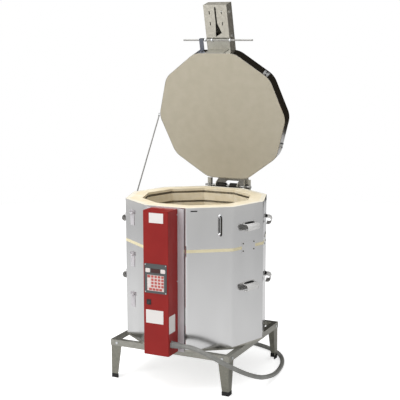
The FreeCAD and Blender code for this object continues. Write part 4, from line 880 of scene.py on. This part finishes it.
def keypad():
    """A film pad with pillow keys: a left column of wider pale keys under a red one, four columns of red keys,
    and a lowest row set in from both sides. Two pale keys stand beside the display."""
    low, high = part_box("keypad")
    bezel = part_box("controller_bezel")[0].y
    face = bezel + 0.5 * MM
    left, right = low.x + 3 * MM, high.x - 3 * MM
    bottom, top = low.z + 3 * MM, high.z - 3 * MM
    pad = piece("keypad_film", [slab((left, right), (face, face + 2 * MM), (bottom, top), 1 * MM)],
                KEYPAD, "base", False)
    column = (right - left) / KEY_COLUMNS
    row = (top - bottom) / KEY_ROWS
    red = []
    pale = []
    for j in range(KEY_ROWS):
        z = bottom + row * (j + 0.5)
        if j == 0:
            places = [left + column * (i + 1) for i in range(4)]
            red += [pillow((x, face, z), column * 0.44, row * 0.36, 1 * MM) for x in places]
            continue
        places = [left + column * (i + 0.55) for i in range(1, 5)]
        red += [pillow((x, face, z), column * 0.36, row * 0.36, 1 * MM) for x in places]
        first = pillow((left + column * 0.5, face, z), column * 0.44, row * 0.4, 1 * MM)
        (red if j == KEY_ROWS - 1 else pale).append(first)
    shown_low, shown_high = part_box("display_window")
    middle = (shown_low.z + shown_high.z) / 2
    for x in (-46 * MM, 44 * MM):
        pale.append(pillow((x, bezel, middle), 14 * MM, 11 * MM, 0.9 * MM))
    keys = piece("keypad_keys", red, KEY_RED, "base")
    lower = piece("keypad_keys_pale", pale, KEY_PALE, "base")
    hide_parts("keypad")
    return [pad, keys, lower]


def bezel_screws():
    """Four round-headed screws in the bezel's corners: a low dome with a dished middle."""
    low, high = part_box("controller_bezel")
    profile = [(-0.5 * MM, 3.2 * MM), (0.6 * MM, 3.2 * MM), (1.4 * MM, 2.6 * MM), (1.8 * MM, 1.6 * MM),
               (1.1 * MM, 0.9 * MM)]
    inset = 5.5 * MM
    places = [(x, z) for x in (low.x + inset, high.x - inset) for z in (low.z + inset, high.z - inset)]
    parts = [turned(profile, (x, low.y, z), (0, -1, 0), 16) for x, z in places]
    return piece("bezel_corner_screws", parts, SCREW, "base")


RELIEF_LENGTH = 46 * MM


def strain_relief():
    """A ribbed rubber sleeve round the cord where it leaves the gland: its radius falls in a straight line
    and rises again at each of its ribs."""
    t = np.linspace(0, 1, 61)
    ribs = 0.9 * MM * np.maximum(np.cos(12 * math.pi * t), 0) ** 0.5
    radius = 17.5 * MM - 3.6 * MM * t + ribs
    profile = np.column_stack([t * RELIEF_LENGTH - 1 * MM, radius])
    start, nxt = Vector(cord_point(0)), Vector(cord_point(1))
    sleeve = turned(profile, start, nxt - start, 32)
    return piece("cord_strain_relief", [sleeve], SLEEVE, "base")


# Stage

TARGET = Vector((0, AXIS_Y, 0.9))
CAMERA_PLACE = Vector((2.335, AXIS_Y - 4.858, 1.879))
FOCAL_PX = 963.7
AXIS_PX = (197.0, 215.4)
FRAME_PX = 400
SENSOR = 36.0
FLOOR_RADIUS = 6.0
FLOOR_COLOUR = (0.8, 0.8, 0.8, 1)
FLOOR_SEEN = 0.62
FLOOR_MIRRORED = 0.07


def camera():
    """The photograph's camera, from a fit to the corners of the stand, box, shell and lid."""
    data = bpy.data.cameras.new("camera")
    data.sensor_width = SENSOR
    data.lens = FOCAL_PX / FRAME_PX * SENSOR
    data.shift_x = (FRAME_PX / 2 - AXIS_PX[0]) / FRAME_PX
    data.shift_y = (AXIS_PX[1] - FRAME_PX / 2) / FRAME_PX
    thing = bpy.data.objects.new("camera", data)
    bpy.context.collection.objects.link(thing)
    thing.location = CAMERA_PLACE
    thing.rotation_euler = (TARGET - CAMERA_PLACE).to_track_quat("-Z", "Y").to_euler()
    bpy.context.scene.camera = thing


def floor():
    """A pale round floor. It glows for the camera, so that it shows white and still keeps the soft shadow, and
    a little for the metal."""
    turn = np.linspace(0, 2 * math.pi, 96, endpoint=False)
    ring = np.column_stack([FLOOR_RADIUS * np.cos(turn), FLOOR_RADIUS * np.sin(turn), np.zeros(96)])
    mesh = bpy.data.meshes.new("floor")
    mesh.from_pydata(ring.tolist(), [], [list(range(96))])
    thing = bpy.data.objects.new("floor", mesh)
    bpy.context.collection.objects.link(thing)
    material = bpy.data.materials.new("floor_white")
    material.use_nodes = True
    tree = material.node_tree
    tree.nodes.clear()
    matt = node(tree, "ShaderNodeBsdfDiffuse", {"Color": FLOOR_COLOUR})
    rays = node(tree, "ShaderNodeLightPath").outputs
    seen = combined(tree, "MULTIPLY", rays["Is Camera Ray"], FLOOR_SEEN)
    metal = combined(tree, "MULTIPLY", rays["Is Glossy Ray"], FLOOR_MIRRORED)
    share = combined(tree, "ADD", seen, metal)
    white = node(tree, "ShaderNodeEmission", {"Color": (1, 1, 1, 1), "Strength": share})
    both = node(tree, "ShaderNodeAddShader", {0: matt.outputs[0], 1: white.outputs[0]})
    node(tree, "ShaderNodeOutputMaterial", {"Surface": both.outputs[0]})
    mesh.materials.append(material)


def room():
    """White to the camera. Light falls evenly, and the metal sees a plain room with bright walls, a greyer
    ceiling and a dark far end."""
    world = bpy.data.worlds.new("studio")
    bpy.context.scene.world = world
    world.use_nodes = True
    tree = world.node_tree
    tree.nodes.clear()
    where = node(tree, "ShaderNodeTexCoord").outputs["Generated"]
    parts = node(tree, "ShaderNodeSeparateXYZ", {"Vector": where})
    walls = ramp(tree, rising(tree, parts.outputs["Z"], 0.25, 0.75), [(0.0, "ECEBE9"), (1.0, "8C8C8C")])
    shade = mixed(tree, rising(tree, parts.outputs["Y"], 0.5, 0.7), walls, colour("2E2A24"))
    mirrored = node(tree, "ShaderNodeBackground", {"Color": shade, "Strength": 1.0})
    even = node(tree, "ShaderNodeBackground", {"Color": (0.8, 0.8, 0.8, 1), "Strength": 0.75})
    white = node(tree, "ShaderNodeBackground", {"Color": (1, 1, 1, 1), "Strength": 1.0})
    rays = node(tree, "ShaderNodeLightPath").outputs
    shown = even.outputs[0]
    for share, other in ((rays["Is Glossy Ray"], mirrored), (rays["Is Camera Ray"], white)):
        shown = node(tree, "ShaderNodeMixShader", {0: share, 1: shown, 2: other.outputs[0]}).outputs[0]
    node(tree, "ShaderNodeOutputWorld", {"Surface": shown})


def lamp(name, place, aim, size, power):
    """A soft rectangular lamp at place, facing aim, its power in watts."""
    data = bpy.data.lights.new(name, "AREA")
    data.shape = "RECTANGLE"
    data.size, data.size_y = size
    data.energy = power
    thing = bpy.data.objects.new(name, data)
    bpy.context.collection.objects.link(thing)
    thing.location = place
    thing.rotation_euler = (Vector(aim) - Vector(place)).to_track_quat("-Z", "Y").to_euler()


dress_nodes()
supply_cord()
strain_relief()
coils = [element_coils(ring) for ring in ("lower", "middle", "upper")]
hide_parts("heating_elements")
springs = hinge_springs()
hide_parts("hinge_springs")
grab_handle()
keypad()
bezel_screws()
lid_band()
lid_slab()
stud_spacer()
seam_gasket()
side_handles()
handle_mounts()
foot_caps()
bar_collars()

camera()
floor()
room()
lamp("top_softbox", (-0.6, -0.6, 4.2), (0, 0, 0.8), (3.0, 3.0), 90)
lamp("front_softbox", (-1.6, -4.2, 2.6), (0, 0, 0.9), (2.4, 2.4), 70)

bpy.context.scene.view_settings.view_transform = "Standard"
